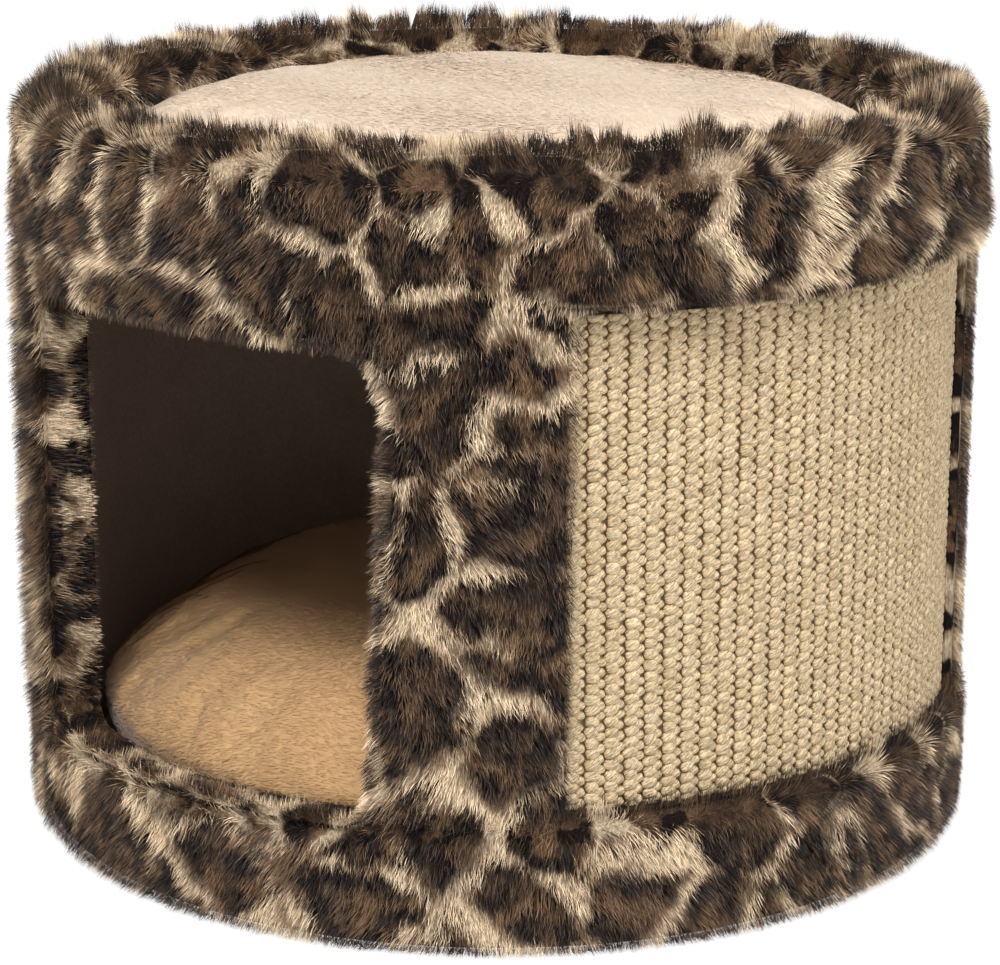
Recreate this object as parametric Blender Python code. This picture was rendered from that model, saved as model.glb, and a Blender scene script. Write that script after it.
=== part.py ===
"""Cat scratching cave: a plush-covered drum with a doorway, a sisal panel and a lying tray.

A wound tube stands on a round board. A second board in the tube's upper end is the floor
of the tray. Foam strips pad the rim and the foot, plush covers the outside, and two loose
round cushions lie in the tray and on the floor inside. Metres, +Z up. The origin is on the
floor below the middle of the drum, and the front faces -Y.
"""
import math

import bmesh
import bpy

# Driving dimensions
PLUSH_RADIUS = 0.212        # outside of the plush on the rim and the foot
TOTAL_HEIGHT = 0.326        # floor to the crest of the plush rim
TUBE_OUTER = 0.1975         # outside of the wound tube
TUBE_WALL = 0.005           # thickness of the tube
FOAM = 0.006                # thickness of the foam strips
LINING = 0.002              # thickness of the felt on the tube's inside
FELT = 0.0012               # thickness of the felt discs
GAP = 0.0003                # clearance between pieces that touch
SEGMENTS = 48               # flats round every turned piece

# Heights, from the floor up
COVER_TOP = 0.0013          # underside cover lies on the floor
COVER_RADIUS = 0.172
HEM_BOTTOM = 0.0016         # plush turned under the base
HEM_TOP = 0.0029
HEM_INNER = 0.160           # inner edge of the hem
TURN_IN = 0.005             # plush turned in over the foam's edges
BOARD_BOTTOM = 0.0032
BASE_BOARD = 0.012          # thickness of the base board
FOOT_TOP = 0.0595           # upper edge of the plush round the foot
BAND_BOTTOM = 0.2618        # lower edge of the plush round the rim
TRAY_BOTTOM = 0.262         # underside of the tray board
TRAY_BOARD = 0.009          # thickness of the tray board
RIM_CENTRE = 0.309          # middle of the rounded crest, and top of the tube

# Doorway, sisal and plush sheet, as angles round the drum: 0 faces the front, + is right
DOOR_LEFT = math.radians(-68.0)
DOOR_RIGHT = math.radians(-11.6)    # at the doorway's top
DOOR_SLANT = math.radians(3.0)      # the doorway's right side stands this much further left at its foot
DOOR_BOTTOM = 0.056
DOOR_TOP = 0.248
DOOR_TOP_CORNER = 0.028
DOOR_FOOT_CORNER = 0.012
DOOR_EDGE = 0.005           # plush turned round the cut edge
SISAL_LEFT = math.radians(7.2)
SISAL_RIGHT = math.radians(76.0)
SISAL_BACKING = 0.0013
SISAL_WEAVE = 0.0044
WALL_PLUSH = 0.0117         # thickness of the plush on the tube
SHEET_GAP = math.radians(0.1)

# Cushions, each on its own base
CUSHION_SEGMENTS = 36
CUSHION_TURN = 0.030        # width of the curved edge round the flat underside
COVER_CLOTH = 0.0015
BASE_CLOTH = 0.0012
SEAM_LIP = 0.0015
FILLING_ROOM = 0.0008
# Radius, height of the seam, height of the crown, and power: higher is fuller towards the side
UPPER_CUSHION = (0.1755, 0.019, 0.0482, 15)
LOWER_CUSHION = (0.185, 0.045, 0.0775, 3.5)

# Fasteners
SCREWS_PER_BOARD = 6
SCREW_HEAD, SCREW_SHANK, SCREW_LENGTH = 0.0034, 0.0016, 0.024
SCREW_TIP = 0.003
SCREW_SIDES = 8
STAPLES = 8
STAPLE_RADIUS = 0.181
STAPLE_WIDTH, STAPLE_WIRE, STAPLE_DEEP, STAPLE_LEG = 0.010, 0.0008, 0.0012, 0.008
STAPLE_BOTTOM = 0.0005

# Radii and heights worked out from the above
TUBE_INNER = TUBE_OUTER - TUBE_WALL
BOARD_RADIUS = TUBE_INNER - GAP
LINING_INNER = BOARD_RADIUS - LINING
DISC_RADIUS = LINING_INNER - GAP
SKIN_INNER = TUBE_OUTER + GAP
FOAM_OUTER = SKIN_INNER + FOAM
RIM_RADIUS = TOTAL_HEIGHT - RIM_CENTRE
RIM_MIDDLE = PLUSH_RADIUS - RIM_RADIUS
FOAM_RIM = FOAM_OUTER - RIM_MIDDLE
RIM_FOAM_BOTTOM = BAND_BOTTOM + TURN_IN
BOARD_TOP = BOARD_BOTTOM + BASE_BOARD
TRAY_TOP = TRAY_BOTTOM + TRAY_BOARD
TRAY_FELT_TOP = TRAY_TOP + GAP + FELT
FLOOR_FELT_TOP = BOARD_TOP + GAP + FELT
STEP = 2 * math.pi / SEGMENTS
DOOR_REFERENCE = TUBE_OUTER


def clear_scene():
    """Remove every object of the open scene."""
    for thing in list(bpy.data.objects):
        bpy.data.objects.remove(thing, do_unlink=True)


def material(name, colour, roughness, metallic=0.0):
    """A Principled material of one colour."""
    mat = bpy.data.materials.new(name)
    mat.use_nodes = True
    shader = mat.node_tree.nodes["Principled BSDF"]
    shader.inputs["Base Color"].default_value = (*colour, 1.0)
    shader.inputs["Roughness"].default_value = roughness
    shader.inputs["Metallic"].default_value = metallic
    return mat


def place(name, bm, mat, location=(0, 0, 0), turn=0.0):
    """Close a bmesh into a named, smooth-shaded object."""
    bmesh.ops.remove_doubles(bm, verts=bm.verts, dist=1e-6)
    loose = [edge for edge in bm.edges if not edge.link_faces]
    bmesh.ops.delete(bm, geom=loose, context="EDGES")
    bmesh.ops.recalc_face_normals(bm, faces=bm.faces)
    mesh = bpy.data.meshes.new(name)
    bm.to_mesh(mesh)
    bm.free()
    mesh.shade_smooth()
    mesh.set_sharp_from_angle(angle=math.radians(35))
    thing = bpy.data.objects.new(name, mesh)
    thing.location = location
    thing.rotation_euler = (0, 0, turn)
    if mat:
        mesh.materials.append(mat)
    bpy.context.collection.objects.link(thing)
    return thing


def cut(thing, cutter):
    """Subtract a guide object, which isn't itself part of the model."""
    cutter.hide_render = True
    cutter.display_type = "WIRE"
    boolean = thing.modifiers.new("cut", "BOOLEAN")
    boolean.operation = "DIFFERENCE"
    boolean.object = cutter


def flat_scale(angle):
    """Share of the radius at which a ring of flats lies at this angle."""
    return math.cos(STEP / 2) / math.cos(angle % STEP - STEP / 2)


def on_ring(angle, radius, height):
    """Point of a ring of flats: angle 0 is the front, positive angles are to the right."""
    reach = radius * flat_scale(angle)
    return (reach * math.sin(angle), -reach * math.cos(angle), height)


def join_rings(bm, rings, closed):
    """Faces between rings of vertices that have the same count, round each ring and along."""
    count = len(rings[0])
    last = len(rings) if closed else len(rings) - 1
    for one in range(last):
        here, there = rings[one], rings[(one + 1) % len(rings)]
        for i in range(count):
            j = (i + 1) % count
            bm.faces.new((here[i], there[i], there[j], here[j]))


def sweep(profile, angles=None):
    """A closed outline of (radius, height) points carried round the drum's axis."""
    bm = bmesh.new()
    full = angles is None
    stops = [i * STEP for i in range(SEGMENTS)] if full else angles
    rings = [[bm.verts.new(on_ring(a, r, z)) for r, z in profile] for a in stops]
    join_rings(bm, rings, full)
    if not full:
        bm.faces.new(rings[0])
        bm.faces.new(rings[-1])
    return bm


def turned(profile, sides):
    """A closed outline of (radius, height) points turned about the Z axis."""
    bm = bmesh.new()
    turns = [2 * math.pi * i / sides for i in range(sides)]
    rings = [[bm.verts.new((r * math.cos(a), r * math.sin(a), z)) for r, z in profile] for a in turns]
    join_rings(bm, rings, True)
    return bm


def stops_between(start, end):
    """The start, each corner of the ring of flats on the way, and the end."""
    first = math.floor(start / STEP) + 1
    last = math.ceil(end / STEP) - 1
    return [start] + [i * STEP for i in range(first, last + 1)] + [end]


def disc(radius, bottom, top):
    """Outline of a flat disc."""
    return [(0, bottom), (radius, bottom), (radius, top), (0, top)]


def band(inner, outer, bottom, top):
    """Outline of a plain ring."""
    return [(inner, bottom), (outer, bottom), (outer, top), (inner, top)]


def arc(centre, middle, radius, start, end, steps):
    """Points on an arc in the (radius, height) plane, both ends included."""
    turns = [math.radians(start + (end - start) * i / steps) for i in range(steps + 1)]
    return [(centre + radius * math.cos(t), middle + radius * math.sin(t)) for t in turns]


def along(start, end, height):
    """Points inside a long edge, so that it follows the curve of the drum."""
    return [(start + (end - start) * k / 6, height) for k in range(1, 6)]


def slanted(angle, height):
    """Move a point of the doorway's right half to the left, more so near its right side and its foot."""
    middle = (DOOR_LEFT + DOOR_RIGHT) / 2
    share = max(0.0, (angle - middle) / (DOOR_RIGHT - middle))
    return angle - DOOR_SLANT * share * (DOOR_TOP - height) / (DOOR_TOP - DOOR_BOTTOM)


def doorway_outline(margin):
    """(angle, height) points round the doorway, this far outside its clear edge."""
    left = DOOR_LEFT * DOOR_REFERENCE
    right = DOOR_RIGHT * DOOR_REFERENCE
    foot, head = DOOR_FOOT_CORNER, DOOR_TOP_CORNER
    points = arc(left + foot, DOOR_BOTTOM + foot, foot + margin, 180, 270, 4)
    points += along(left + foot, right - foot, DOOR_BOTTOM - margin)
    points += arc(right - foot, DOOR_BOTTOM + foot, foot + margin, 270, 360, 4)
    points += arc(right - head, DOOR_TOP - head, head + margin, 0, 90, 4)
    points += along(right - head, left + head, DOOR_TOP + margin)
    points += arc(left + head, DOOR_TOP - head, head + margin, 90, 180, 4)
    return [(slanted(across / DOOR_REFERENCE, height), height) for across, height in points]


def doorway_cutter():
    """A radial plug as large as the hole in the tube."""
    bm = bmesh.new()
    outline = doorway_outline(DOOR_EDGE)
    rings = []
    for depth in (-0.045, -0.012, 0.0, 0.015, 0.045):
        reach = TUBE_OUTER + depth
        ring = [(reach * math.sin(a), -reach * math.cos(a), z) for a, z in outline]
        rings.append([bm.verts.new(point) for point in ring])
    join_rings(bm, rings, False)
    bm.faces.new(rings[0])
    bm.faces.new(rings[-1])
    return place("doorway_cutter", bm, None)


def screw_outline():
    """Countersunk screw along Z, with its tip at 0."""
    cone = SCREW_HEAD - SCREW_SHANK
    return [
        (0, 0), (SCREW_SHANK, SCREW_TIP), (SCREW_SHANK, SCREW_LENGTH - cone),
        (SCREW_HEAD, SCREW_LENGTH), (0, SCREW_LENGTH),
    ]


def hole_outline():
    """Room for a screw, carried on past its head so that it opens on the tube's outside."""
    cone = SCREW_HEAD - SCREW_SHANK
    shank, head, top = SCREW_SHANK + GAP, SCREW_HEAD + GAP, SCREW_LENGTH + 0.002
    return [
        (0, -GAP), (shank, SCREW_TIP - GAP), (shank, SCREW_LENGTH - cone),
        (head, SCREW_LENGTH), (head, top), (0, top),
    ]


def screw_angles(first):
    """Angles of one board's screws, each on the middle of a flat."""
    return [first + 2 * math.pi * i / SCREWS_PER_BOARD for i in range(SCREWS_PER_BOARD)]


def lay_screw(thing, angle, height):
    """Turn an upright screw so that its head is just below the tube's surface."""
    head = TUBE_OUTER * math.cos(STEP / 2) - GAP
    tip = head - SCREW_LENGTH
    thing.location = (tip * math.sin(angle), -tip * math.cos(angle), height)
    thing.rotation_euler = (math.pi / 2, 0, angle)


def screws(name, angles, height, mat):
    """One board's screws, and the guide that clears their holes."""
    holes = bmesh.new()
    for number, angle in enumerate(angles, 1):
        screw = place(f"{name}_{number:02d}", turned(screw_outline(), SCREW_SIDES), mat)
        lay_screw(screw, angle, height)
        hole = place("hole", turned(hole_outline(), SCREW_SIDES), None)
        lay_screw(hole, angle, height)
        bpy.context.view_layer.update()
        hole.data.transform(hole.matrix_world)
        holes.from_mesh(hole.data)
        bpy.data.objects.remove(hole)
    return place(name + "_holes", holes, None)


def block(bm, low, high, turn):
    """A box turned about the drum's axis."""
    made = bmesh.ops.create_cube(bm, size=1.0)["verts"]
    for vert in made:
        x, y, z = [lo + (hi - lo) * (part + 0.5) for lo, hi, part in zip(low, high, vert.co)]
        vert.co = (x * math.cos(turn) - y * math.sin(turn), x * math.sin(turn) + y * math.cos(turn), z)


def staple():
    """A wire bow with its crown at the bottom, extruded to the wire's depth."""
    bm = bmesh.new()
    half, wire, leg = STAPLE_WIDTH / 2, STAPLE_WIRE, STAPLE_LEG
    outline = [
        (-half, 0), (half, 0), (half, leg), (half - wire, leg),
        (half - wire, wire), (wire - half, wire), (wire - half, leg), (-half, leg),
    ]
    rings = []
    for side in (-STAPLE_DEEP / 2, STAPLE_DEEP / 2):
        rings.append([bm.verts.new((x, side, z)) for x, z in outline])
    join_rings(bm, rings, False)
    bm.faces.new(rings[0])
    bm.faces.new(rings[1])
    return bm


def staples(mat):
    """The hem's staples, and the guide that clears the room for their legs."""
    slots = bmesh.new()
    for number in range(1, STAPLES + 1):
        turn = 2 * math.pi * (number - 0.5) / STAPLES
        where = (STAPLE_RADIUS * math.sin(turn), -STAPLE_RADIUS * math.cos(turn), STAPLE_BOTTOM)
        place(f"hem_staple_{number:02d}", staple(), mat, where, turn)
        for side in (-1, 1):
            middle = side * (STAPLE_WIDTH - STAPLE_WIRE) / 2
            reach_x, reach_y = STAPLE_WIRE / 2 + GAP, STAPLE_DEEP / 2 + GAP
            low = (middle - reach_x, -STAPLE_RADIUS - reach_y, STAPLE_BOTTOM + 0.0005)
            high = (middle + reach_x, -STAPLE_RADIUS + reach_y, STAPLE_BOTTOM + STAPLE_LEG + GAP)
            block(slots, low, high, turn)
    return place("staple_slots", slots, None)


def foot_profile():
    """Plush round the foot: turned under as a hem, up the outside and in over the foam."""
    under, top = HEM_BOTTOM, FOOT_TOP
    return [
        (HEM_INNER, under), (PLUSH_RADIUS - 0.006, under), (PLUSH_RADIUS - 0.002, 0.004),
        (PLUSH_RADIUS, 0.009), (PLUSH_RADIUS, top - 0.007), (PLUSH_RADIUS - 0.0025, top - 0.002),
        (PLUSH_RADIUS - 0.007, top), (SKIN_INNER, top), (SKIN_INNER, top - TURN_IN),
        (FOAM_OUTER + GAP, top - TURN_IN), (FOAM_OUTER + GAP, HEM_TOP), (HEM_INNER, HEM_TOP),
    ]


def rim_profile():
    """Plush round the rim: under the foam, up the outside, over the crest and down inside."""
    bottom = BAND_BOTTOM
    inner = FOAM_RIM + GAP
    return [
        (SKIN_INNER, bottom), (PLUSH_RADIUS - 0.004, bottom), (PLUSH_RADIUS - 0.001, bottom + 0.002),
        (PLUSH_RADIUS, bottom + 0.006),
        *arc(RIM_MIDDLE, RIM_CENTRE, RIM_RADIUS, 0, 180, 8),
        (RIM_MIDDLE - RIM_RADIUS, TRAY_TOP + GAP), (RIM_MIDDLE - inner, TRAY_TOP + GAP),
        *arc(RIM_MIDDLE, RIM_CENTRE, inner, 180, 0, 4),
        (FOAM_OUTER + GAP, RIM_FOAM_BOTTOM), (SKIN_INNER, RIM_FOAM_BOTTOM),
    ]


def rim_foam_profile():
    """Foam strip folded over the tube's top edge."""
    return [
        (SKIN_INNER, RIM_FOAM_BOTTOM + GAP), (FOAM_OUTER, RIM_FOAM_BOTTOM + GAP),
        *arc(RIM_MIDDLE, RIM_CENTRE, FOAM_RIM, 0, 180, 4),
        (RIM_MIDDLE - FOAM_RIM, TRAY_TOP + GAP), (BOARD_RADIUS, TRAY_TOP + GAP),
        (BOARD_RADIUS, RIM_CENTRE + GAP), (SKIN_INNER, RIM_CENTRE + GAP),
    ]


def entrance_edge(mat):
    """Plush turned round the doorway's cut edge: a rounded bead from inside to outside."""
    bm = bmesh.new()
    inner, outer = LINING_INNER - 0.002, SKIN_INNER + WALL_PLUSH
    back, soft = DOOR_EDGE - GAP, 0.003
    section = [
        (back, inner), (soft / 2, inner), (0, inner + soft), (0, outer - soft),
        (soft / 2, outer), (back, outer),
    ]
    outlines = [doorway_outline(margin) for margin, reach in section]
    rings = []
    for i in range(len(outlines[0])):
        ring = [(reach, *outline[i]) for outline, (margin, reach) in zip(outlines, section)]
        rings.append([bm.verts.new((r * math.sin(a), -r * math.cos(a), z)) for r, a, z in ring])
    join_rings(bm, rings, True)
    return place("entrance_edge_fur", bm, mat)


def crowned(radius, seam, crown, power, inset, steps):
    """Points of a cushion's upper side, from its middle out and down to its seam."""
    points = []
    for i in range(steps + 1):
        share = math.sin(math.pi / 2 * i / steps)
        rise = math.sqrt(max(0.0, 1 - share ** power))
        points.append((share * (radius - inset), seam + (crown - seam - inset) * rise))
    return points


def bowl(radius, seam, inset, steps):
    """Points of a cushion's underside, flat in the middle and curved up to its seam."""
    points = [(0, inset)]
    for i in range(steps + 1):
        turn = math.pi / 2 * i / steps
        reach = radius - CUSHION_TURN + (CUSHION_TURN - inset) * math.sin(turn)
        points.append((reach, inset + (seam - inset) * (1 - math.cos(turn))))
    return points


def seam_lip(radius, seam, side):
    """The sewn edge that stands out at the seam, on its upper (1) or lower (-1) side."""
    far = radius + SEAM_LIP
    return [(radius, seam + side * SEAM_LIP), (far, seam + side * SEAM_LIP), (far, seam)]


def cushion(name, shape, base, cloth, under_cloth, wadding):
    """A round cushion: crowned cover, flat base and filling, drawn in to a seam at the side."""
    radius, seam, crown, power = shape
    sides, where = CUSHION_SEGMENTS, (0, 0, base)
    outside = crowned(radius, seam, crown, power, 0, 9)
    inside = crowned(radius, seam, crown, power, COVER_CLOTH, 6)
    outline = outside[:-1] + seam_lip(radius, seam, 1) + inside[::-1]
    place(name + "_cover", turned(outline, sides), cloth, where)
    low = seam - GAP
    outline = bowl(radius, low, 0, 4)[:-1] + seam_lip(radius, low, -1) + bowl(radius, low, BASE_CLOTH, 3)[::-1]
    place(name + "_base", turned(outline, sides), under_cloth, where)
    heart = crowned(radius, seam, crown, power, COVER_CLOTH + FILLING_ROOM, 6)
    outline = heart + bowl(radius, seam, BASE_CLOTH + FILLING_ROOM, 3)[-2::-1]
    place(name + "_filling", turned(outline, sides), wadding, where)


def structure(board_mat, tube_mat, door, base_holes, tray_holes, slots):
    """The load-bearing pieces: two boards in the ends of a wound tube."""
    base = place("base_board", sweep(disc(BOARD_RADIUS, BOARD_BOTTOM, BOARD_TOP)), board_mat)
    cut(base, base_holes)
    cut(base, slots)
    tray = place("tray_board", sweep(disc(BOARD_RADIUS, TRAY_BOTTOM, TRAY_TOP)), board_mat)
    cut(tray, tray_holes)
    tube = place("shell_tube", sweep(band(TUBE_INNER, TUBE_OUTER, BOARD_BOTTOM, RIM_CENTRE)), tube_mat)
    cut(tube, door)
    cut(tube, base_holes)
    cut(tube, tray_holes)


def linings(dark_mat, felt_mat, cover_mat, door):
    """Felt on the walls, floor, ceiling and tray, and the cover below the base."""
    wall = band(LINING_INNER, BOARD_RADIUS, BOARD_TOP + GAP, TRAY_BOTTOM - GAP)
    cut(place("wall_lining", sweep(wall), dark_mat), door)
    place("floor_lining", sweep(disc(DISC_RADIUS, BOARD_TOP + GAP, FLOOR_FELT_TOP)), dark_mat)
    ceiling = disc(DISC_RADIUS, TRAY_BOTTOM - GAP - FELT, TRAY_BOTTOM - GAP)
    place("ceiling_lining", sweep(ceiling), dark_mat)
    tray = disc(RIM_MIDDLE - RIM_RADIUS - GAP, TRAY_TOP + GAP, TRAY_FELT_TOP)
    place("tray_lining", sweep(tray), felt_mat)
    place("underside_cover", sweep(disc(COVER_RADIUS, 0, COVER_TOP)), cover_mat)


def padding(foam_mat, door):
    """Foam strips below the plush of the rim and the foot."""
    place("rim_foam", sweep(rim_foam_profile()), foam_mat)
    foot = band(SKIN_INNER, FOAM_OUTER, BOARD_BOTTOM, FOOT_TOP - TURN_IN - GAP)
    cut(place("base_foam", sweep(foot), foam_mat), door)


def plush(plush_mat, door, slots):
    """Printed plush of the rim, the foot, the wall and the doorway's edge."""
    place("top_band_fur", sweep(rim_profile()), plush_mat)
    foot = place("base_band_fur", sweep(foot_profile()), plush_mat)
    cut(foot, door)
    cut(foot, slots)
    sheet = band(SKIN_INNER, SKIN_INNER + WALL_PLUSH, FOOT_TOP + GAP, BAND_BOTTOM - GAP)
    angles = stops_between(SISAL_RIGHT + SHEET_GAP, SISAL_LEFT + 2 * math.pi - SHEET_GAP)
    cut(place("wall_fur", sweep(sheet, angles), plush_mat), door)
    entrance_edge(plush_mat)


def sisal(weave_mat, backing_mat):
    """The woven scratching panel on its backing."""
    low, high = FOOT_TOP + GAP, BAND_BOTTOM - GAP
    face = SKIN_INNER + SISAL_BACKING + GAP
    angles = stops_between(SISAL_LEFT, SISAL_RIGHT)
    place("sisal_backing", sweep(band(SKIN_INNER, face - GAP, low, high), angles), backing_mat)
    place("sisal_panel", sweep(band(face, face + SISAL_WEAVE, low, high), angles), weave_mat)


def build():
    """Model the whole object."""
    clear_scene()
    board = material("fibreboard", (0.42, 0.30, 0.19), 0.75)
    card = material("wound_card", (0.36, 0.26, 0.17), 0.85)
    dark = material("dark_felt", (0.035, 0.026, 0.020), 0.95)
    felt = material("grey_felt", (0.20, 0.18, 0.16), 0.95)
    cover = material("black_cover", (0.03, 0.03, 0.03), 0.9)
    foam = material("foam", (0.75, 0.72, 0.62), 0.9)
    printed = material("printed_plush", (0.16, 0.105, 0.065), 0.9)
    weave = material("sisal", (0.62, 0.46, 0.25), 0.85)
    latex = material("sisal_backing", (0.45, 0.36, 0.24), 0.9)
    beige = material("beige_plush", (0.70, 0.48, 0.26), 0.9)
    wadding = material("wadding", (0.85, 0.85, 0.83), 0.95)
    steel = material("steel", (0.60, 0.60, 0.62), 0.35, 1.0)
    door = doorway_cutter()
    base_height = (BOARD_BOTTOM + BOARD_TOP) / 2
    tray_height = (TRAY_BOTTOM + TRAY_TOP) / 2
    base_holes = screws("base_screw", screw_angles(STEP / 2), base_height, steel)
    tray_holes = screws("tray_screw", screw_angles(STEP * 4.5), tray_height, steel)
    slots = staples(steel)
    structure(board, card, door, base_holes, tray_holes, slots)
    linings(dark, felt, cover, door)
    padding(foam, door)
    plush(printed, door, slots)
    sisal(weave, latex)
    cushion("top_cushion", UPPER_CUSHION, TRAY_FELT_TOP + GAP, beige, felt, wadding)
    cushion("lower_cushion", LOWER_CUSHION, FLOOR_FELT_TOP + GAP, beige, felt, wadding)


build()
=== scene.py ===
# %% [markdown]
# # A cat scratching cave in printed plush
#
# The object is a round cave for a cat: a cardboard tube with a doorway, covered in long plush
# with an animal print, with a woven sisal panel to scratch and a lying tray on top. This lesson
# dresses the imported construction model. The long hair, the woven loops and the cushions are
# worked out with numpy as surfaces and put into meshes as whole arrays. Metres, +Z up, front
# at -Y, and every piece is made where it stays.

import math

import bmesh
import bpy
import numpy as np
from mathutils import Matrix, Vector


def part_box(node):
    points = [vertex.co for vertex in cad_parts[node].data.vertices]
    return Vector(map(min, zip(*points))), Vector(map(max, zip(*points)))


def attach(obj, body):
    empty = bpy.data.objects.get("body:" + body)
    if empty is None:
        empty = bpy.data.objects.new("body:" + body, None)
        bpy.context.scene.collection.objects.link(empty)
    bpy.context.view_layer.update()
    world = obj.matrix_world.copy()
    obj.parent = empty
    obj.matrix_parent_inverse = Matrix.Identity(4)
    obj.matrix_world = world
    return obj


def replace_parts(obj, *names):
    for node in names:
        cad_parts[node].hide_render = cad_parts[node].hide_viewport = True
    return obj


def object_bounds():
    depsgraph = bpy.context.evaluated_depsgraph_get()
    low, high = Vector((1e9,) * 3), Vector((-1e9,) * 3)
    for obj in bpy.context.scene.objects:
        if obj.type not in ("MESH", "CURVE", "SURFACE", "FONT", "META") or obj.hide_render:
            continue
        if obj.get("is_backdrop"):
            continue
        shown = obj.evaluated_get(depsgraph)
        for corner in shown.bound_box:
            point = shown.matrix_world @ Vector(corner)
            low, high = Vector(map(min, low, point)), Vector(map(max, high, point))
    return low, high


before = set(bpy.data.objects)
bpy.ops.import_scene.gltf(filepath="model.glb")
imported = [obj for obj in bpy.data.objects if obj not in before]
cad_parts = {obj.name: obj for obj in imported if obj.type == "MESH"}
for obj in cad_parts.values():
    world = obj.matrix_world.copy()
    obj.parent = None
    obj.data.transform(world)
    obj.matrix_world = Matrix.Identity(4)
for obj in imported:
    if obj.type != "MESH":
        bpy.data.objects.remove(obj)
cad_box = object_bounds()
cad_sides = [round(side * 1000) for side in cad_box[1] - cad_box[0]]
print("construction model:", len(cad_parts), "nodes, box", cad_sides, "mm")

# %% [markdown]
# ## Camera
#
# The picture was taken from a little above, with a long lens. The camera stands straight in
# front and looks down by about fifteen degrees. Its place and lens come from fitting the
# drum's round edges to the photograph.

# %% Camera
CAMERA_PLACE = (0.0, -1.386, 0.517)
CAMERA_DOWN = 0.265      # radians below the horizon
LENS = 113.9             # millimetres, on a sensor 36 mm wide

lens = bpy.data.cameras.new("camera")
lens.lens = LENS
lens.sensor_width = 36.0
lens.clip_start = 0.05
lens.clip_end = 30.0
camera = bpy.data.objects.new("camera", lens)
camera.location = CAMERA_PLACE
camera.rotation_euler = (math.pi / 2 - CAMERA_DOWN, 0.0, 0.0)
bpy.context.scene.collection.objects.link(camera)
bpy.context.scene.camera = camera
bpy.context.scene.view_settings.view_transform = "Standard"
print("camera", round(camera.location.length, 3), "m from the drum's foot")

# %% [markdown]
# ## Writing materials as sums
#
# A material is a graph of nodes, but most of what it does is arithmetic. The small class below
# wraps one output socket, so that a sum written in Python adds the Math nodes, or the Vector
# Math nodes where a colour or a position takes part. Every other node comes from one method
# that sets the node up first and then fills its sockets.


# %% Sockets that can be added and multiplied
class Wire:
    """An output socket. The signs + - and * add Math nodes, or Vector Math nodes for vectors and colours."""

    def __init__(self, look, socket):
        self.look = look
        self.socket = socket

    def is_vector(self):
        return self.socket.type in ("VECTOR", "RGBA")

    def calculate(self, operation, first, second):
        parts = (first, second)
        vector = any(isinstance(part, Wire) and part.is_vector() for part in parts)
        if vector:
            parts = [(part,) * 3 if isinstance(part, (int, float)) else part for part in parts]
        kind = "VectorMath" if vector else "Math"
        return self.look.node(kind, {"operation": operation}, {0: parts[0], 1: parts[1]})

    def __add__(self, other):
        return self.calculate("ADD", self, other)

    def __radd__(self, other):
        return self.calculate("ADD", other, self)

    def __sub__(self, other):
        return self.calculate("SUBTRACT", self, other)

    def __rsub__(self, other):
        return self.calculate("SUBTRACT", other, self)

    def __mul__(self, other):
        return self.calculate("MULTIPLY", self, other)

    def __rmul__(self, other):
        return self.calculate("MULTIPLY", other, self)

    def ramp(self, low, high):
        """0 below low and 1 above high, with a smooth rise between them."""
        settings = {"interpolation_type": "SMOOTHSTEP"}
        return self.look.node("MapRange", settings, {"Value": self, "From Min": low, "From Max": high})


# %% A material under construction
class Look:
    """A Principled material that is built up from nodes."""

    def __init__(self, name):
        self.material = bpy.data.materials.new(name)
        self.material.use_nodes = True
        self.tree = self.material.node_tree
        self.shader = self.tree.nodes["Principled BSDF"]

    def node(self, kind, settings=None, values=None, out=0):
        """Add a node: its settings first, then a value or a link for each named socket."""
        made = self.tree.nodes.new("ShaderNode" + kind)
        for name, value in (settings or {}).items():
            setattr(made, name, value)
        for name, value in (values or {}).items():
            if isinstance(value, Wire):
                self.tree.links.new(value.socket, made.inputs[name])
            else:
                made.inputs[name].default_value = value
        return Wire(self, made.outputs[out])

    def place(self):
        """Position in the object's own metres."""
        return self.node("TexCoord", out="Object")

    def attribute(self, name, out="Fac"):
        """A value that the mesh carries at its points."""
        return self.node("Attribute", {"attribute_name": name}, out=out)

    def noise(self, where, scale, detail=2.0, out=0):
        """Soft random clouds: output 0 is a number, and output 1 a colour."""
        return self.node("TexNoise", None, {"Vector": where, "Scale": scale, "Detail": detail}, out)

    def stretch(self, where, scale):
        """Coordinates that are scaled unlike on each axis, for fibres and grain."""
        return self.node("Mapping", None, {"Vector": where, "Scale": scale})

    def mix(self, share, first, second):
        """Colour that goes from first, at share 0, to second, at share 1."""
        colours = [c if isinstance(c, Wire) else (*c, 1.0) for c in (first, second)]
        values = {0: share, 6: colours[0], 7: colours[1]}
        return self.node("Mix", {"data_type": "RGBA"}, values, 2)

    def done(self, colour, roughness, height=None, depth=0.001, **fixed):
        """Link what varies, set what doesn't, and hand back the finished material."""
        for name, value in (("Base Color", colour), ("Roughness", roughness)):
            if isinstance(value, Wire):
                self.tree.links.new(value.socket, self.shader.inputs[name])
            elif name == "Base Color":
                self.shader.inputs[name].default_value = (*value, 1.0)
            else:
                self.shader.inputs[name].default_value = value
        if height is not None:
            bump = self.node("Bump", None, {"Height": height, "Distance": depth, "Strength": 1.0})
            self.tree.links.new(bump.socket, self.shader.inputs["Normal"])
        for name, value in fixed.items():
            self.shader.inputs[name.replace("_", " ")].default_value = value
        return self.material


# %% [markdown]
# ## Floor and light
#
# A plain white floor and a white surround, as in a product picture. The camera sees the floor
# and the world as white, but the object is lit by far less, so that a colour renders about as
# it is written. The floor keeps a soft shadow because a part of its white comes from the lamps.

# %% Floor
FLOOR_SIZE = 6.0
FLOOR_GLOW = 0.78        # the floor's own white, as the camera sees it
FLOOR_WHITE = 0.42       # the share that the lamps light


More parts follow.
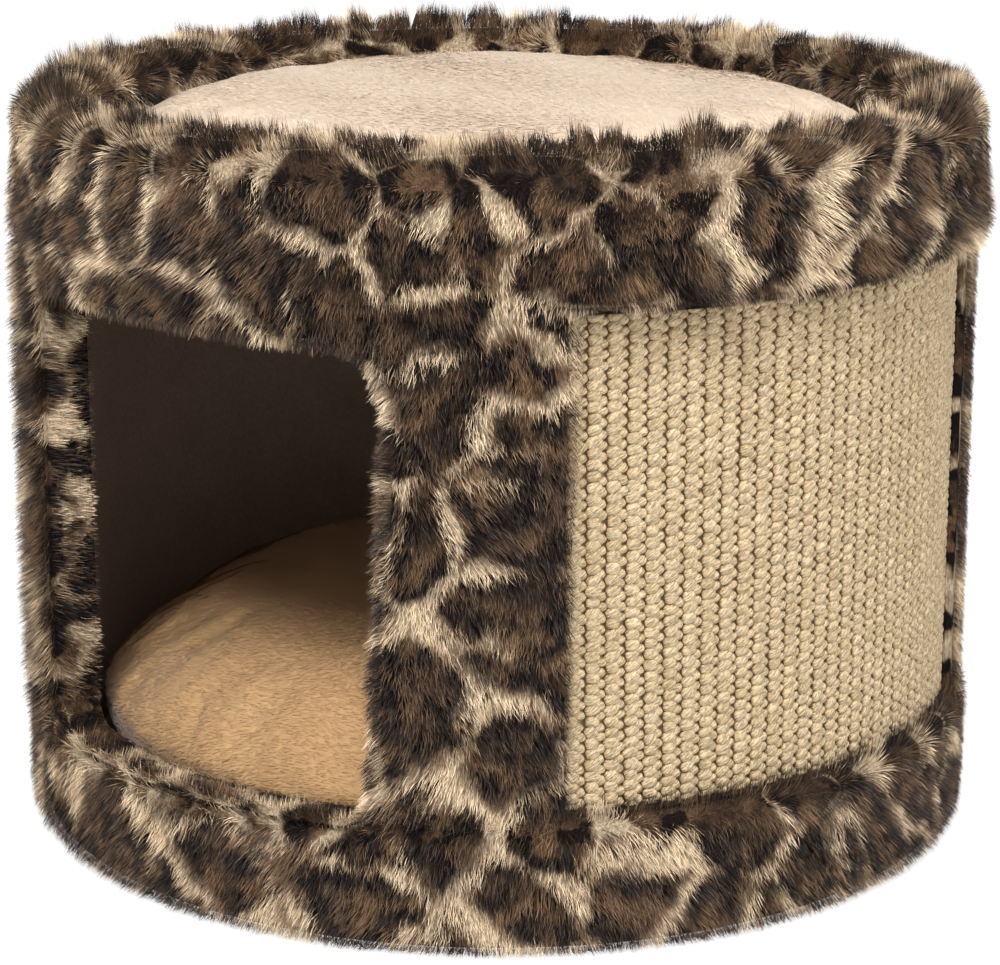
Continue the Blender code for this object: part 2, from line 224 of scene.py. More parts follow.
def crossed(first, second):
    """Every value of one line with every value of another, as two flat arrays."""
    return [part.ravel() for part in np.meshgrid(first, second, indexing="ij")]


def floor_points(size, steps):
    """A level grid: x and y go from -size / 2 to size / 2, and z is 0."""
    line = np.linspace(-size / 2, size / 2, steps)
    x, y = crossed(line, line)
    return np.stack([x, y, np.zeros_like(x)], axis=-1)


def grid_faces(rows, columns, wrap_rows=False, wrap_columns=False):
    """Corners of the squares of a grid of points, numbered along each row."""
    i = np.arange(rows if wrap_rows else rows - 1)[:, None]
    j = np.arange(columns if wrap_columns else columns - 1)[None, :]
    down, right = (i + 1) % rows, (j + 1) % columns
    corners = [i * columns + j, down * columns + j, down * columns + right, i * columns + right]
    return np.stack(np.broadcast_arrays(*corners), axis=-1).reshape(-1, 4)


def mesh_from(name, points, corners, starts, material):
    """A smooth object from flat arrays: points, each face's corners in turn, and where each face starts."""
    mesh = bpy.data.meshes.new(name)
    mesh.vertices.add(len(points))
    mesh.vertices.foreach_set("co", np.asarray(points, np.float32).ravel())
    mesh.loops.add(len(corners))
    mesh.loops.foreach_set("vertex_index", np.asarray(corners, np.int32))
    mesh.polygons.add(len(starts))
    mesh.polygons.foreach_set("loop_start", np.asarray(starts, np.int32))
    mesh.polygons.foreach_set("use_smooth", np.ones(len(starts), bool))
    mesh.update(calc_edges=True)
    mesh.materials.append(material)
    piece = bpy.data.objects.new(name, mesh)
    bpy.context.scene.collection.objects.link(piece)
    return piece


def grid_piece(name, points, faces, material):
    """An object from points and four-cornered faces."""
    return mesh_from(name, points, faces.ravel(), np.arange(0, faces.size, 4), material)


def points_of(mesh):
    """A mesh's points as an array."""
    flat = np.empty(len(mesh.vertices) * 3, np.float32)
    mesh.vertices.foreach_get("co", flat)
    return flat.reshape(-1, 3).astype(float)


def floor_look():
    """White paper: a diffuse share that takes the shadow, and a glow for the camera and reflections only."""
    look = Look("floor")
    rays = look.node("LightPath")
    seen = Wire(look, rays.socket.node.outputs["Is Camera Ray"])
    mirrored = Wire(look, rays.socket.node.outputs["Is Glossy Ray"])
    through = Wire(look, rays.socket.node.outputs["Is Transmission Ray"])
    lit = look.node("BsdfDiffuse", None, {"Color": (FLOOR_WHITE,) * 3 + (1.0,)})
    glow = look.node("Emission", None, {"Color": (1.0, 1.0, 1.0, 1.0), "Strength": FLOOR_GLOW})
    paper = look.node("AddShader", None, {0: lit, 1: glow})
    plain = look.node("BsdfDiffuse", None, {"Color": (0.8, 0.8, 0.8, 1.0)})
    share = (seen + mirrored + through).ramp(0.0, 1.0)
    both = look.node("MixShader", None, {0: share, 1: plain, 2: paper})
    output = look.tree.nodes["Material Output"]
    look.tree.links.new(both.socket, output.inputs["Surface"])
    return look.material


FLOOR_STEPS = 13
floor_squares = grid_faces(FLOOR_STEPS, FLOOR_STEPS)
floor = grid_piece("floor", floor_points(FLOOR_SIZE, FLOOR_STEPS), floor_squares, floor_look())
floor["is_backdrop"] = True
print("floor", FLOOR_SIZE, "m across")

# %% World and lamps
WORLD_LIGHT = 0.42
LAMPS = {
    "key": {"place": (-0.40, -1.75, 2.70), "size": 1.2, "power": 92.0, "colour": (1.0, 0.98, 0.95)},
    "fill": {"place": (1.9, -1.5, 1.7), "size": 1.6, "power": 25.0, "colour": (0.97, 0.98, 1.0)},
    "top": {"place": (0.2, 0.3, 2.3), "size": 1.4, "power": 9.0, "colour": (1.0, 1.0, 1.0)},
}
AIM = np.array([0.0, 0.0, 0.17])


def white_world():
    """White behind everything for the camera and reflections, and a plain light on the object."""
    world = bpy.data.worlds.new("surround")
    world.use_nodes = True
    tree = world.node_tree
    behind = tree.nodes["Background"]
    behind.inputs["Color"].default_value = (1.0, 1.0, 1.0, 1.0)
    rays = tree.nodes.new("ShaderNodeLightPath")
    seen = tree.nodes.new("ShaderNodeMath")
    seen.operation = "MAXIMUM"
    tree.links.new(rays.outputs["Is Camera Ray"], seen.inputs[0])
    tree.links.new(rays.outputs["Is Glossy Ray"], seen.inputs[1])
    every = tree.nodes.new("ShaderNodeMath")
    every.operation = "MAXIMUM"
    tree.links.new(seen.outputs[0], every.inputs[0])
    tree.links.new(rays.outputs["Is Transmission Ray"], every.inputs[1])
    strength = tree.nodes.new("ShaderNodeMapRange")
    strength.inputs["To Min"].default_value = WORLD_LIGHT
    strength.inputs["To Max"].default_value = 1.0
    tree.links.new(every.outputs[0], strength.inputs["Value"])
    tree.links.new(strength.outputs[0], behind.inputs["Strength"])
    bpy.context.scene.world = world


def add_lamp(name, place, size, power, colour):
    """A square soft box that faces the middle of the drum."""
    lamp = bpy.data.lights.new(name, "AREA")
    lamp.shape = "SQUARE"
    lamp.size = size
    lamp.energy = power
    lamp.color = colour
    holder = bpy.data.objects.new(name, lamp)
    holder.location = place
    toward = Vector(AIM) - Vector(place)
    holder.rotation_euler = toward.to_track_quat("-Z", "Y").to_euler()
    bpy.context.scene.collection.objects.link(holder)


white_world()
for lamp_name, facts in LAMPS.items():
    add_lamp(lamp_name, **facts)
print("lamps:", ", ".join(LAMPS))

# %% [markdown]
# ## Sizes
#
# Most sizes are read from the construction model, so that a piece goes where its solid is. The
# doorway and the sisal panel are given as angles round the drum: zero faces the front, and
# positive angles go to the right.

# %% Sizes
rim_low, rim_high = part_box("top_band_fur")
foot_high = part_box("base_band_fur")[1]
tube_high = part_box("shell_tube")[1]
plush_radius = rim_high.x            # outside of the plush on the rim and the foot
tube_outer = tube_high.x
crest_height = rim_high.z
band_bottom = rim_low.z
foot_top = foot_high.z
rim_roll = crest_height - tube_high.z        # radius of the rounded crest
rim_middle = plush_radius - rim_roll         # radius at which the crest is highest
wall_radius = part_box("wall_fur")[1].x        # outside of the plush on the tube

DOOR_LEFT, DOOR_RIGHT = math.radians(-68.0), math.radians(-11.6)
DOOR_SLANT = math.radians(3.0)       # the foot of the doorway's right side stands this much further left
DOOR_BOTTOM, DOOR_TOP = 0.056, 0.248
DOOR_FOOT_CORNER, DOOR_TOP_CORNER = 0.012, 0.028
SISAL_LEFT, SISAL_RIGHT = math.radians(7.2), math.radians(76.0)
ROOT_DEPTH = 0.0035                  # the dense wool under the long hair lies this far inside its solid
print("rim at", round(plush_radius * 1000), "mm, crest at", round(crest_height * 1000), "mm")


# %% Round the drum
def polar(radius, angle, height):
    """x = r sin(angle), y = -r cos(angle), z = height."""
    radius, angle, height = np.broadcast_arrays(radius, angle, height)
    return np.stack([radius * np.sin(angle), -radius * np.cos(angle), height], axis=-1)


def unit(vectors):
    """Vectors brought to length one."""
    return vectors / np.maximum(np.linalg.norm(vectors, axis=-1, keepdims=True), 1e-12)


def corner(middle_r, middle_z, radius, start, end, steps=8):
    """Points of an arc in the (radius, height) plane, from one angle to another in degrees."""
    turn = np.radians(np.linspace(start, end, steps + 1))
    return np.stack([middle_r + radius * np.cos(turn), middle_z + radius * np.sin(turn)], axis=-1)


def wander(points, size, seed):
    """Smooth random numbers of about -1 to 1 over space: the sum of sine waves in random directions."""
    rng = np.random.default_rng(seed)
    waves = rng.normal(0.0, 1.0 / size, (3, 7))
    phases = rng.uniform(0.0, 2 * math.pi, 7)
    return np.sin(points @ waves + phases).sum(axis=1) / 2.6


# %% [markdown]
# ## The print
#
# The plush carries a common animal print: a pale net on a brown ground, with a tan edge along
# the net and dark patches inside the meshes. A Voronoi texture gives the net, because the
# distance to the border between its cells is small along lines that meet in threes. Clouds of
# noise bend the lines, vary their width and cut the dark patches. The print reads the place of
# a hair's root, so that a whole hair has one colour, and the pattern frays along the hair as it
# does on real plush. A slice through a pattern in space needs no seam round the drum.

# %% The print's colours
CREAM = (1.00, 0.81, 0.57)
TAN = (0.38, 0.25, 0.15)
GOLD = (0.250, 0.150, 0.085)
BROWN = (0.108, 0.065, 0.042)
DARK = (0.0200, 0.0140, 0.0125)
MESHES_PER_METRE = 26.0


def animal_print(look, where):
    """The print's colour at a place: net, tan edge, brown ground with golden hearts, and dark patches."""
    drift = look.noise(where, 24.0, 2.0, 1) - 0.5
    ragged = look.noise(where + 5.3, 110.0, 2.0, 1) - 0.5
    bent = where + drift * 0.026 + ragged * 0.008
    meshes = {"Vector": bent, "Scale": MESHES_PER_METRE}
    net = look.node("TexVoronoi", {"feature": "DISTANCE_TO_EDGE"}, meshes)
    width = look.noise(where + 3.1, 38.0, 1.0)
    border = net - (width - 0.50) * 0.44
    patches = look.noise(where + ragged * 0.006 + 7.7, 95.0, 2.0)
    ring = border.ramp(0.02, 0.09) * (1.0 - border.ramp(0.14, 0.34))
    dark = (patches + ring * 0.10).ramp(0.50, 0.61) * border.ramp(0.02, 0.08)
    tone = look.noise(where + 1.7, 70.0, 2.0)
    ground = look.mix(tone.ramp(0.42, 0.60), BROWN, GOLD)
    edged = look.mix(1.0 - border.ramp(0.02, 0.11), ground, TAN)
    patched = look.mix(dark, edged, DARK)
    return look.mix(1.0 - border.ramp(-0.015, 0.055), patched, CREAM)


def plush_look():
    """Hair: the print, with painted shade low down, painted light and a painted highlight at the tips, and
    each hair lighter or darker than the next.
    """
    look = Look("printed_plush")
    spot = look.attribute("spot", "Vector")
    along = look.attribute("along")
    own = look.attribute("own")
    colour = animal_print(look, spot)
    # Painted shade near the roots and painted light at the tips, times each hair's own tone
    shade = (0.48 + along * 0.64) * (0.62 + own * 0.78)
    # Painted highlight: the tips of some hairs are mixed towards a light brown
    print_with_tip_highlight = look.mix(along * own.ramp(0.72, 1.0) * 0.22, colour, (0.40, 0.29, 0.19))
    return look.done(print_with_tip_highlight * shade, 0.48, Specular_IOR_Level=0.22)


def wool_look():
    """The dense wool below the long hair: the same print, darkened to about half by painted shade, with
    streaks that run down.
    """
    look = Look("plush_wool")
    here = look.place()
    streaks = look.noise(look.stretch(here, (1.0, 1.0, 0.3)), 1100.0, 3.0)
    tufts = look.noise(look.stretch(here, (1.0, 1.0, 0.6)), 260.0, 2.0)
    # Painted shade of the deep fur between the hairs, uneven along streaks and tufts
    shade = 0.22 + streaks.ramp(0.3, 0.75) * 0.42 + tufts * 0.20
    return look.done(animal_print(look, here) * shade, 0.9, streaks + tufts, 0.0015, Specular_IOR_Level=0.1)


plush = plush_look()
wool = wool_look()
print("print:", round(1000 / MESHES_PER_METRE), "mm from mesh to mesh")

# %% [markdown]
# ## Hair as flat blades
#
# Long plush can be faked with a texture, but its outline then stays smooth, so here every hair
# is real: a slim blade of two triangles, pointed at both ends and bent where they meet. It
# stands on a closed surface, which is the dense wool that fills real plush between its backing
# and the open tips. Each hair leaves the wool along the surface's normal and then leans over
# downwards, with a small bend to a side. Neighbouring hairs gather loosely in locks. Everything
# is worked out for all the hairs of a piece at once.


# %% Roots on a turned surface
SLOPE_STEP = 0.0006      # a surface's slope is taken between points this far to both sides


def turned_roots(profile, per_square_mm, start, end, seed):
    """Roots on a profile carried round the drum, one in each square of an uneven grid.
    They come with the directions out of, round and up the surface."""
    rng = np.random.default_rng(seed)
    steps = np.linalg.norm(np.diff(profile, axis=0), axis=1)
    reach = np.concatenate([[0.0], np.cumsum(steps)])
    spacing = 0.001 / math.sqrt(per_square_mm)
    rows = int(reach[-1] / spacing)
    columns = int((end - start) * profile[:, 0].mean() / spacing)
    i, j = np.meshgrid(np.arange(columns), np.arange(rows))
    angle = (start + (end - start) * (i + rng.random(i.shape)) / columns).ravel()
    climb = (reach[-1] * (j + rng.random(j.shape)) / rows).ravel()
    radius, height = (np.interp(climb, reach, profile[:, axis]) for axis in (0, 1))
    ahead = [np.interp(climb + SLOPE_STEP, reach, profile[:, axis]) for axis in (0, 1)]
    behind = [np.interp(climb - SLOPE_STEP, reach, profile[:, axis]) for axis in (0, 1)]
    rise = unit(np.stack([ahead[0] - behind[0], ahead[1] - behind[1]], axis=-1))
    place = polar(radius, angle, height)
    round_it = polar(1.0, angle + math.pi / 2, 0.0)
    up = polar(rise[:, 0], angle, rise[:, 1])
    out = polar(rise[:, 1], angle, -rise[:, 0])
    return {
        "place": place, "out": out, "round": round_it, "up": up, "angle": angle,
        "u": angle * profile[:, 0].mean(), "v": climb, "toward": np.zeros_like(place),
    }


def chosen(roots, keep):
    """The roots for which keep is true."""
    return {name: values[keep] for name, values in roots.items()}


# %% Locks of hair
def scatter(a, b, seed):
    """A repeatable random number from 0 to 1 for each pair of whole numbers."""
    wave = np.sin(a * 127.1 + b * 311.7 + seed * 74.7) * 43758.5453
    return wave - np.floor(wave)


def nearest_lock(u, v, pitch, seed):
    """For each root, the way to its lock's middle, and two random numbers that the lock's hairs share."""
    best = np.full(u.shape, np.inf)
    way_u, way_v, first, second = (np.zeros_like(u) for _ in range(4))
    for di in (-1, 0, 1):
        for dj in (-1, 0, 1):
            a, b = np.floor(u / pitch) + di, np.floor(v / pitch) + dj
            gap_u = (a + scatter(a, b, seed)) * pitch - u
            gap_v = (b + scatter(a, b, seed + 1)) * pitch - v
            gap = gap_u ** 2 + gap_v ** 2
            nearer = gap < best
            best = np.where(nearer, gap, best)
            way_u, way_v = np.where(nearer, gap_u, way_u), np.where(nearer, gap_v, way_v)
            first = np.where(nearer, scatter(a, b, seed + 2), first)
            second = np.where(nearer, scatter(a, b, seed + 3), second)
    return way_u, way_v, first, second


# %% Growing the hair
FLOOR_CLEARANCE = 0.0004


def blade_faces(count, pattern, sides, points_each):
    """Corners and face starts for many like blades."""
    corners = (np.arange(count)[:, None] * points_each + np.array(pattern)[None, :]).ravel()
    firsts = np.concatenate([[0], np.cumsum(sides)[:-1]])
    starts = (np.arange(count)[:, None] * len(pattern) + firsts[None, :]).ravel()
    return corners, starts


def bake_map(mesh, count, pattern, spots):
    """Give each blade its own small square of a texture map."""
    side = math.ceil(math.sqrt(count))
    cell = np.stack([np.arange(count) % side, np.arange(count) // side], axis=-1)
    corners = (cell[:, None, :] + np.array(spots)[pattern][None, :, :]) / side
    layer = mesh.uv_layers.new(name="OFBake")
    layer.uv.foreach_set("vector", corners.astype(np.float32).ravel())


def carry(mesh, name, kind, values):
    """Store values at the mesh's points under a name that a material can read."""
    key = "vector" if kind == "FLOAT_VECTOR" else "value"
    mesh.attributes.new(name, kind, "POINT").data.foreach_set(key, values.astype(np.float32).ravel())


PRINT_SHARE = 0.6        # how far the print's place goes along with the hair, from its root
FRAY = 0.0011            # how far a hair's colour strays from its place in the print
THICK = 0.00027
DOWN = np.array([0.0, 0.0, -1.0])


def grow(name, roots, length, seed, stand=0.0, lean=0.78, lock=0.0036, gather=0.36):
    """Hairs on the given roots. The lower half of a hair points outwards, and the upper half leans down
    by its share of lean and outwards by stand. Its bend and tip move to the middle of its lock by a
    share of gather."""
    rng = np.random.default_rng(seed)
    place, out, side = roots["place"], roots["out"], roots["round"]
    count = len(place)
    way_u, way_v, swing, lift = nearest_lock(roots["u"], roots["v"], lock, seed)
    length = np.broadcast_to(length, count)
    stand = np.broadcast_to(stand, count)
    level = np.clip(1.0 - out[:, 2], 0.0, 1.0)
    hang = (lean * level)[:, None]
    flow = 0.34 * wander(place, 0.045, 11) + 0.30 * wander(place, 0.012, 12)
    sway = flow * (0.4 + 0.6 * level) + 0.42 * (swing - 0.5) + rng.normal(0, 0.13, count)
    curl = sway + rng.normal(0.0, 0.24, count)
    low_dir = unit(0.92 * out + 0.42 * hang * DOWN + 0.55 * (side * sway[:, None] + roots["toward"]))
    rise = (0.46 + 0.34 * lift + stand + rng.normal(0.0, 0.17, count))[:, None]
    high_side = 0.85 * (side * curl[:, None] + roots["toward"])
    high_dir = unit((rise + 0.35 * (1.0 - hang)) * out + hang * DOWN + high_side)
    half = (length / 2 * (0.66 + 0.46 * rng.random(count)) * (0.86 + 0.28 * lift))[:, None]
    loose = np.where(rng.random(count) < 0.25, 0.0, gather)[:, None]
    pull = loose * (side * way_u[:, None] + roots["up"] * way_v[:, None])
    bend = place + half * low_dir + 0.4 * pull
    tip = bend + half * high_dir + 0.6 * pull
    bend[:, 2] = np.maximum(bend[:, 2], FLOOR_CLEARANCE)
    tip[:, 2] = np.maximum(tip[:, 2], FLOOR_CLEARANCE)
    facing = unit(0.2 * out + 0.8 * unit(place * np.array([1.0, 1.0, 0.0])))
    flat = unit(np.cross(high_dir, facing))
    twist = rng.normal(0.0, 0.55, count)[:, None]
    flat = unit(flat * np.cos(twist) + np.cross(high_dir, flat) * np.sin(twist))
    half_width = (THICK / 2 * rng.uniform(0.75, 1.25, count))[:, None] * flat
    points = np.stack([place, bend - half_width, bend + half_width, tip], 1)
    pattern = [0, 2, 1, 1, 2, 3]
    corners, starts = blade_faces(count, pattern, [3, 3], 4)
    piece = mesh_from(name, points.reshape(-1, 3), corners, starts, plush)
    stray = rng.normal(0.0, FRAY, (count, 1, 3))
    spot = place[:, None, :] + PRINT_SHARE * (points - place[:, None, :]) + stray
    carry(piece.data, "spot", "FLOAT_VECTOR", spot.reshape(-1, 3))
    carry(piece.data, "along", "FLOAT", np.tile([0.0, 0.5, 0.5, 1.0], count))
    carry(piece.data, "own", "FLOAT", np.repeat(rng.random(count), 4))
    bake_map(piece.data, count, pattern, [(0.5, 0.1), (0.2, 0.5), (0.8, 0.5), (0.5, 0.9)])
    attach(piece, "drum")
    print(name, count, "hairs")
    return piece


# %% [markdown]
# ## Plush of the rim
#
# A strip of plush is glued round the tray's rim: it starts under the foam, goes up the outside,
# over the rounded crest and down inside to the tray. Its backing is a closed profile turned
# round the drum, and its hair stands up along the crest and hangs over at the lower edge.


# %% Backing cloth from a turned profile
def turned_piece(name, profile, material, sides=180):
    """A closed outline of (radius, height) carried round the drum. Points on the axis are merged."""
    turn = np.linspace(0.0, 2 * math.pi, sides, endpoint=False)
    points = polar(profile[None, :, 0], turn[:, None], profile[None, :, 1]).reshape(-1, 3)
    faces = grid_faces(sides, len(profile), True, True)
    piece = grid_piece(name, points, faces, material)
    work = bmesh.new()
    work.from_mesh(piece.data)
    bmesh.ops.remove_doubles(work, verts=work.verts, dist=1e-6)
    bmesh.ops.recalc_face_normals(work, faces=work.faces)
    work.to_mesh(piece.data)
    work.free()
    return piece


# %% Rim
WOOL = 0.0040            # thickness of the wool with its backing
TURN_CORNER = 0.0055     # rounding of an edge that is turned in
RIM_LIFT = 0.0025        # the hair hangs this far below the wool's edge
TRAY_SIDE_BOTTOM = 0.284
EDGE_CLOTH = 0.0008      # thickness of the part that is turned in
skin_radius = tube_outer + 0.0003    # the pieces on the tube lie against this radius

rim_root = plush_radius - ROOT_DEPTH
roll_root = rim_roll - ROOT_DEPTH
rim_edge = band_bottom + RIM_LIFT
rim_outside = np.concatenate([
    [[skin_radius, rim_edge]],
    corner(rim_root - TURN_CORNER, rim_edge + TURN_CORNER, TURN_CORNER, -90, 0),
    corner(rim_middle, tube_high.z, roll_root, 0, 180, 24),
    [[rim_middle - roll_root, TRAY_SIDE_BOTTOM]],
])
rim_inside = np.concatenate([
    [[rim_middle - roll_root + WOOL, TRAY_SIDE_BOTTOM]],
    corner(rim_middle, tube_high.z, roll_root - WOOL, 180, 0, 24),
    [[rim_root - WOOL, rim_edge + EDGE_CLOTH], [skin_radius, rim_edge + EDGE_CLOTH]],
])


def plush_strip(name, outside, inside, node):
    """Backing of a strip of plush that goes all round the drum, in the place of its node."""
    cloth = turned_piece(name, np.concatenate([outside, inside]), wool)
    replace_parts(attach(cloth, "drum"), node)
    return cloth


plush_strip("rim_plush_wool", rim_outside, rim_inside, "top_band_fur")

# %% Rim hair
HAIR = 0.0086            # length of a hair above the wool
FUR_DENSITY = 1.40       # hairs on a square millimetre
FULL = 2 * math.pi
# Share of the full length, at these distances up from the lower edge: full on the lower half of
# the outside, where the plush sags, shorter above, and cut short along the sisal's upper edge
UP_THE_RIM = (0.0, 0.0045, 0.0090, 0.0200, 0.0330, 0.0480, 0.0600, 0.1200)
RIM_HAIR = (0.98, 1.12, 1.20, 1.12, 0.90, 0.70, 0.84, 0.86)
OVER_SISAL = (0.46, 0.66, 1.08, 1.12, 0.90, 0.70, 0.84, 0.86)
RAGGED = 0.38            # how unevenly it is cut there
TUFT = 0.013             # distance between the tufts on the crest
# Further length on the crest, as (share, degrees round the drum, degrees of width)
PUFFS = ((0.40, 190, 18), (-0.14, 128, 34), (0.20, -108, 20))


def bump_at(angle, middle, width):
    """1 at one angle round the drum, falling smoothly to 0 beside it. Both are in degrees."""
    off = (angle - math.radians(middle) + math.pi) % FULL - math.pi
    return np.exp(-(off / math.radians(width)) ** 2)


def between(angle, start, end, soft):
    """1 between two angles round the drum and 0 elsewhere, with a soft change. All are in radians."""
    off = np.abs((angle - (start + end) / 2 + math.pi) % FULL - math.pi)
    return np.clip(((end - start) / 2 + soft / 2 - off) / soft, 0.0, 1.0)


for number in range(3):
    start = -math.pi / 3 + number * FULL / 3
    roots = turned_roots(rim_outside[1:], FUR_DENSITY, start, start + FULL / 3, 20 + number)
    # Length along the outside, cut at the sisal
    angle = roots["angle"]
    sisal_share = between(angle, SISAL_LEFT, SISAL_RIGHT, math.radians(3.0))
    free, cut = (np.interp(roots["v"], UP_THE_RIM, shares) for shares in (RIM_HAIR, OVER_SISAL))
    trimmed = free + (cut * (1.0 + RAGGED * wander(roots["place"], 0.006, 34)) - free) * sisal_share
    # Tufts on the crest: some stand up and some lie over, and their hairs fan out to both sides
    crest = np.clip(roots["out"][:, 2], 0.0, 1.0)
    tuft_u, _, swing, lift = nearest_lock(roots["u"], roots["v"], TUFT, 37)
    raised = np.clip(1.25 * crest + 1.1 * ((7.0 * swing + 5.0 * lift) % 1.0 - 0.5), 0.0, 1.0)
    raised *= np.clip(3.0 * crest, 0.0, 1.0)
    sideways = crest * (1.4 * (swing - 0.5) + 60.0 * tuft_u)
    roots["toward"] = raised[:, None] * polar(0.15, angle, 1.15) + sideways[:, None] * roots["round"]
    uneven = 1.0 + 0.10 * wander(roots["place"], 0.06, 35) + crest * (0.70 * lift - 0.30)
    puffs = 0.16 + sum(share * bump_at(angle, middle, width) for share, middle, width in PUFFS)
    sagging = 0.30 * np.clip(trimmed - 0.9, 0.0, 0.3) / 0.3
    length = HAIR * trimmed * uneven * (1.0 + crest * puffs)
    grow(f"rim_plush_hair_{number + 1}", roots, length, 30 + number, sagging)

# %% [markdown]
# ## Plush of the foot
#
# The same strip runs round the foot of the drum. It is turned under the base and stapled there,
# and its upper edge turns in to the tube over the foam.

# %% Foot
FOOT_CORNER = 0.006
HEM_INNER = 0.160
HEM, HEM_TOP = 0.0016, 0.0029
foot_edge = foot_top - 0.0034
FOOT_DIP = 0.0055        # the foot is this much lower in front of the doorway
DIP_FROM = 0.030         # the dip starts at this height and is full at the upper edge
DOOR_SOFT = math.radians(2.0)

foot_outside = np.concatenate([
    [[HEM_INNER, HEM]],
    corner(rim_root - FOOT_CORNER, FOOT_CORNER + HEM, FOOT_CORNER, -90, 0),
    corner(rim_root - TURN_CORNER, foot_edge - TURN_CORNER, TURN_CORNER, 0, 90),
    [[skin_radius, foot_edge]],
])
foot_inside = np.array([
    [skin_radius, foot_edge - EDGE_CLOTH], [rim_root - WOOL, foot_edge - EDGE_CLOTH],
    [rim_root - WOOL, HEM_TOP + 0.0002], [rim_root - FOOT_CORNER, HEM_TOP], [HEM_INNER, HEM_TOP],
])
foot_cloth = plush_strip("foot_plush_wool", foot_outside, foot_inside, "base_band_fur")


def at_doorway(angle):
    """1 between the feet of the doorway's sides and 0 elsewhere."""
    return between(angle, DOOR_LEFT, DOOR_RIGHT - DOOR_SLANT, DOOR_SOFT)


def dipped(points):
    """Lower the upper part of the foot in front of the doorway."""
    angle = np.arctan2(points[:, 0], -points[:, 1])
    share = np.clip((points[:, 2] - DIP_FROM) / (foot_edge - DIP_FROM), 0.0, 1.0)
    points[:, 2] -= FOOT_DIP * share * at_doorway(angle)
    return points


foot_points = points_of(foot_cloth.data)
foot_cloth.data.vertices.foreach_set("co", dipped(foot_points).astype(np.float32).ravel())

STAND, STAND_REACH = 0.8, 0.018      # the hair near the upper edge is brushed up over the sisal

for number in range(2):
    start = -math.pi / 2 + number * math.pi
    roots = turned_roots(foot_outside[1:], FUR_DENSITY, start, start + math.pi, 40 + number)
    under = np.clip(-roots["out"][:, 2], 0.0, 1.0)
    to_edge = roots["v"].max() - roots["v"]
    near_edge = np.clip(1.0 - to_edge / STAND_REACH, 0.0, 1.0)
    right = bump_at(roots["angle"], 54, 26)
    before_door = near_edge * at_doorway(roots["angle"])
    brushed_up = near_edge * (STAND + 0.5 * right + 0.6 * before_door)
    outwards = polar(1.0, roots["angle"], 0.0)
    roots["toward"] = brushed_up[:, None] * -DOWN - (1.2 * before_door)[:, None] * outwards
    roots["place"] = dipped(roots["place"])
    slim = 0.34 * bump_at(roots["angle"], 92, 24) + 0.20 * bump_at(roots["angle"], 76, 24) * (1.0 - near_edge)
    length = HAIR * (1.08 - 0.45 * under + 0.35 * right * near_edge - slim - 0.20 * before_door)
    grow(f"foot_plush_hair_{number + 1}", roots, length, 50 + number)

# %% [markdown]
# ## Plush of the tube and the doorway
#
# One sheet of plush goes round the tube from the sisal's right edge, round the back, past the
# doorway and on to the sisal's left edge. The doorway is a rectangle with rounded corners. Its
# distance function says for each point of the unrolled wall how far outside the opening it
# lies, so it cuts the sheet, keeps hair out of the opening and says where an edge is near.

# %% Doorway
door_middle = (DOOR_TOP + DOOR_BOTTOM) / 2
door_centre = (DOOR_LEFT + DOOR_RIGHT) / 2


def narrowing(height):
    """The width of the doorway's right half at a height, as a share of its width at the top."""
    down = (DOOR_TOP - height) / (DOOR_TOP - DOOR_BOTTOM)
    return 1.0 - DOOR_SLANT / (DOOR_RIGHT - door_centre) * down


def slanted(angle, height):
    """Move points right of the doorway's middle to the left, more so near the foot."""
    off = angle - door_centre
    return door_centre + np.where(off > 0, off * narrowing(height), off)


def door_distance(angle, height):
    """Distance from the doorway's outline on the unrolled wall, with its right side set upright.
    It is below 0 in the opening."""
    off = (angle + math.pi) % FULL - math.pi - door_centre
    across = np.where(off > 0, off / narrowing(height), off) * tube_outer
    turn = np.where(height > door_middle, DOOR_TOP_CORNER, DOOR_FOOT_CORNER)
    x = np.abs(across) - (DOOR_RIGHT - DOOR_LEFT) / 2 * tube_outer + turn
    y = np.abs(height - door_middle) - (DOOR_TOP - DOOR_BOTTOM) / 2 + turn
    return np.hypot(np.maximum(x, 0.0), np.maximum(y, 0.0)) + np.minimum(np.maximum(x, y), 0.0) - turn


def door_slope(angle, height, step=1e-4):
    """Direction straight away from the doorway, as parts round and up the wall."""
    turn = step / tube_outer
    round_part = door_distance(angle + turn, height) - door_distance(angle - turn, height)
    up_part = door_distance(angle, height + step) - door_distance(angle, height - step)
    return round_part / (2 * step), up_part / (2 * step)


WALL_CELL = 0.005


def wall_sheet(name, radius, thickness, start, end, bottom, top, margin, material):
    """A sheet round the drum with the doorway cut out, wider than its outline by margin.
    Corners of the grid at the cut move on to the outline."""
    columns = int((end - start) * radius / WALL_CELL) + 1
    rows = int((top - bottom) / WALL_CELL) + 1
    angle, height = crossed(np.linspace(start, end, columns), np.linspace(bottom, top, rows))
    away = door_distance(angle, height) - margin
    faces = grid_faces(columns, rows)
    kept = away[faces].mean(axis=1) > 0.0
    in_kept, in_cut = np.zeros(len(angle), bool), np.zeros(len(angle), bool)
    in_kept[faces[kept]] = True
    in_cut[faces[~kept]] = True
    border = in_kept & in_cut
    round_part, up_part = door_slope(angle, height)
    angle = np.where(border, angle - away * round_part / tube_outer, angle)
    height = np.where(border, height - away * up_part, height)
    used, corners = np.unique(faces[kept], return_inverse=True)
    piece = grid_piece(name, polar(radius, angle, height)[used], corners.reshape(-1, 4), material)
    solid = piece.modifiers.new("thickness", "SOLIDIFY")
    solid.thickness = thickness
    solid.offset = -1.0
    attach(piece, "drum")
    return piece


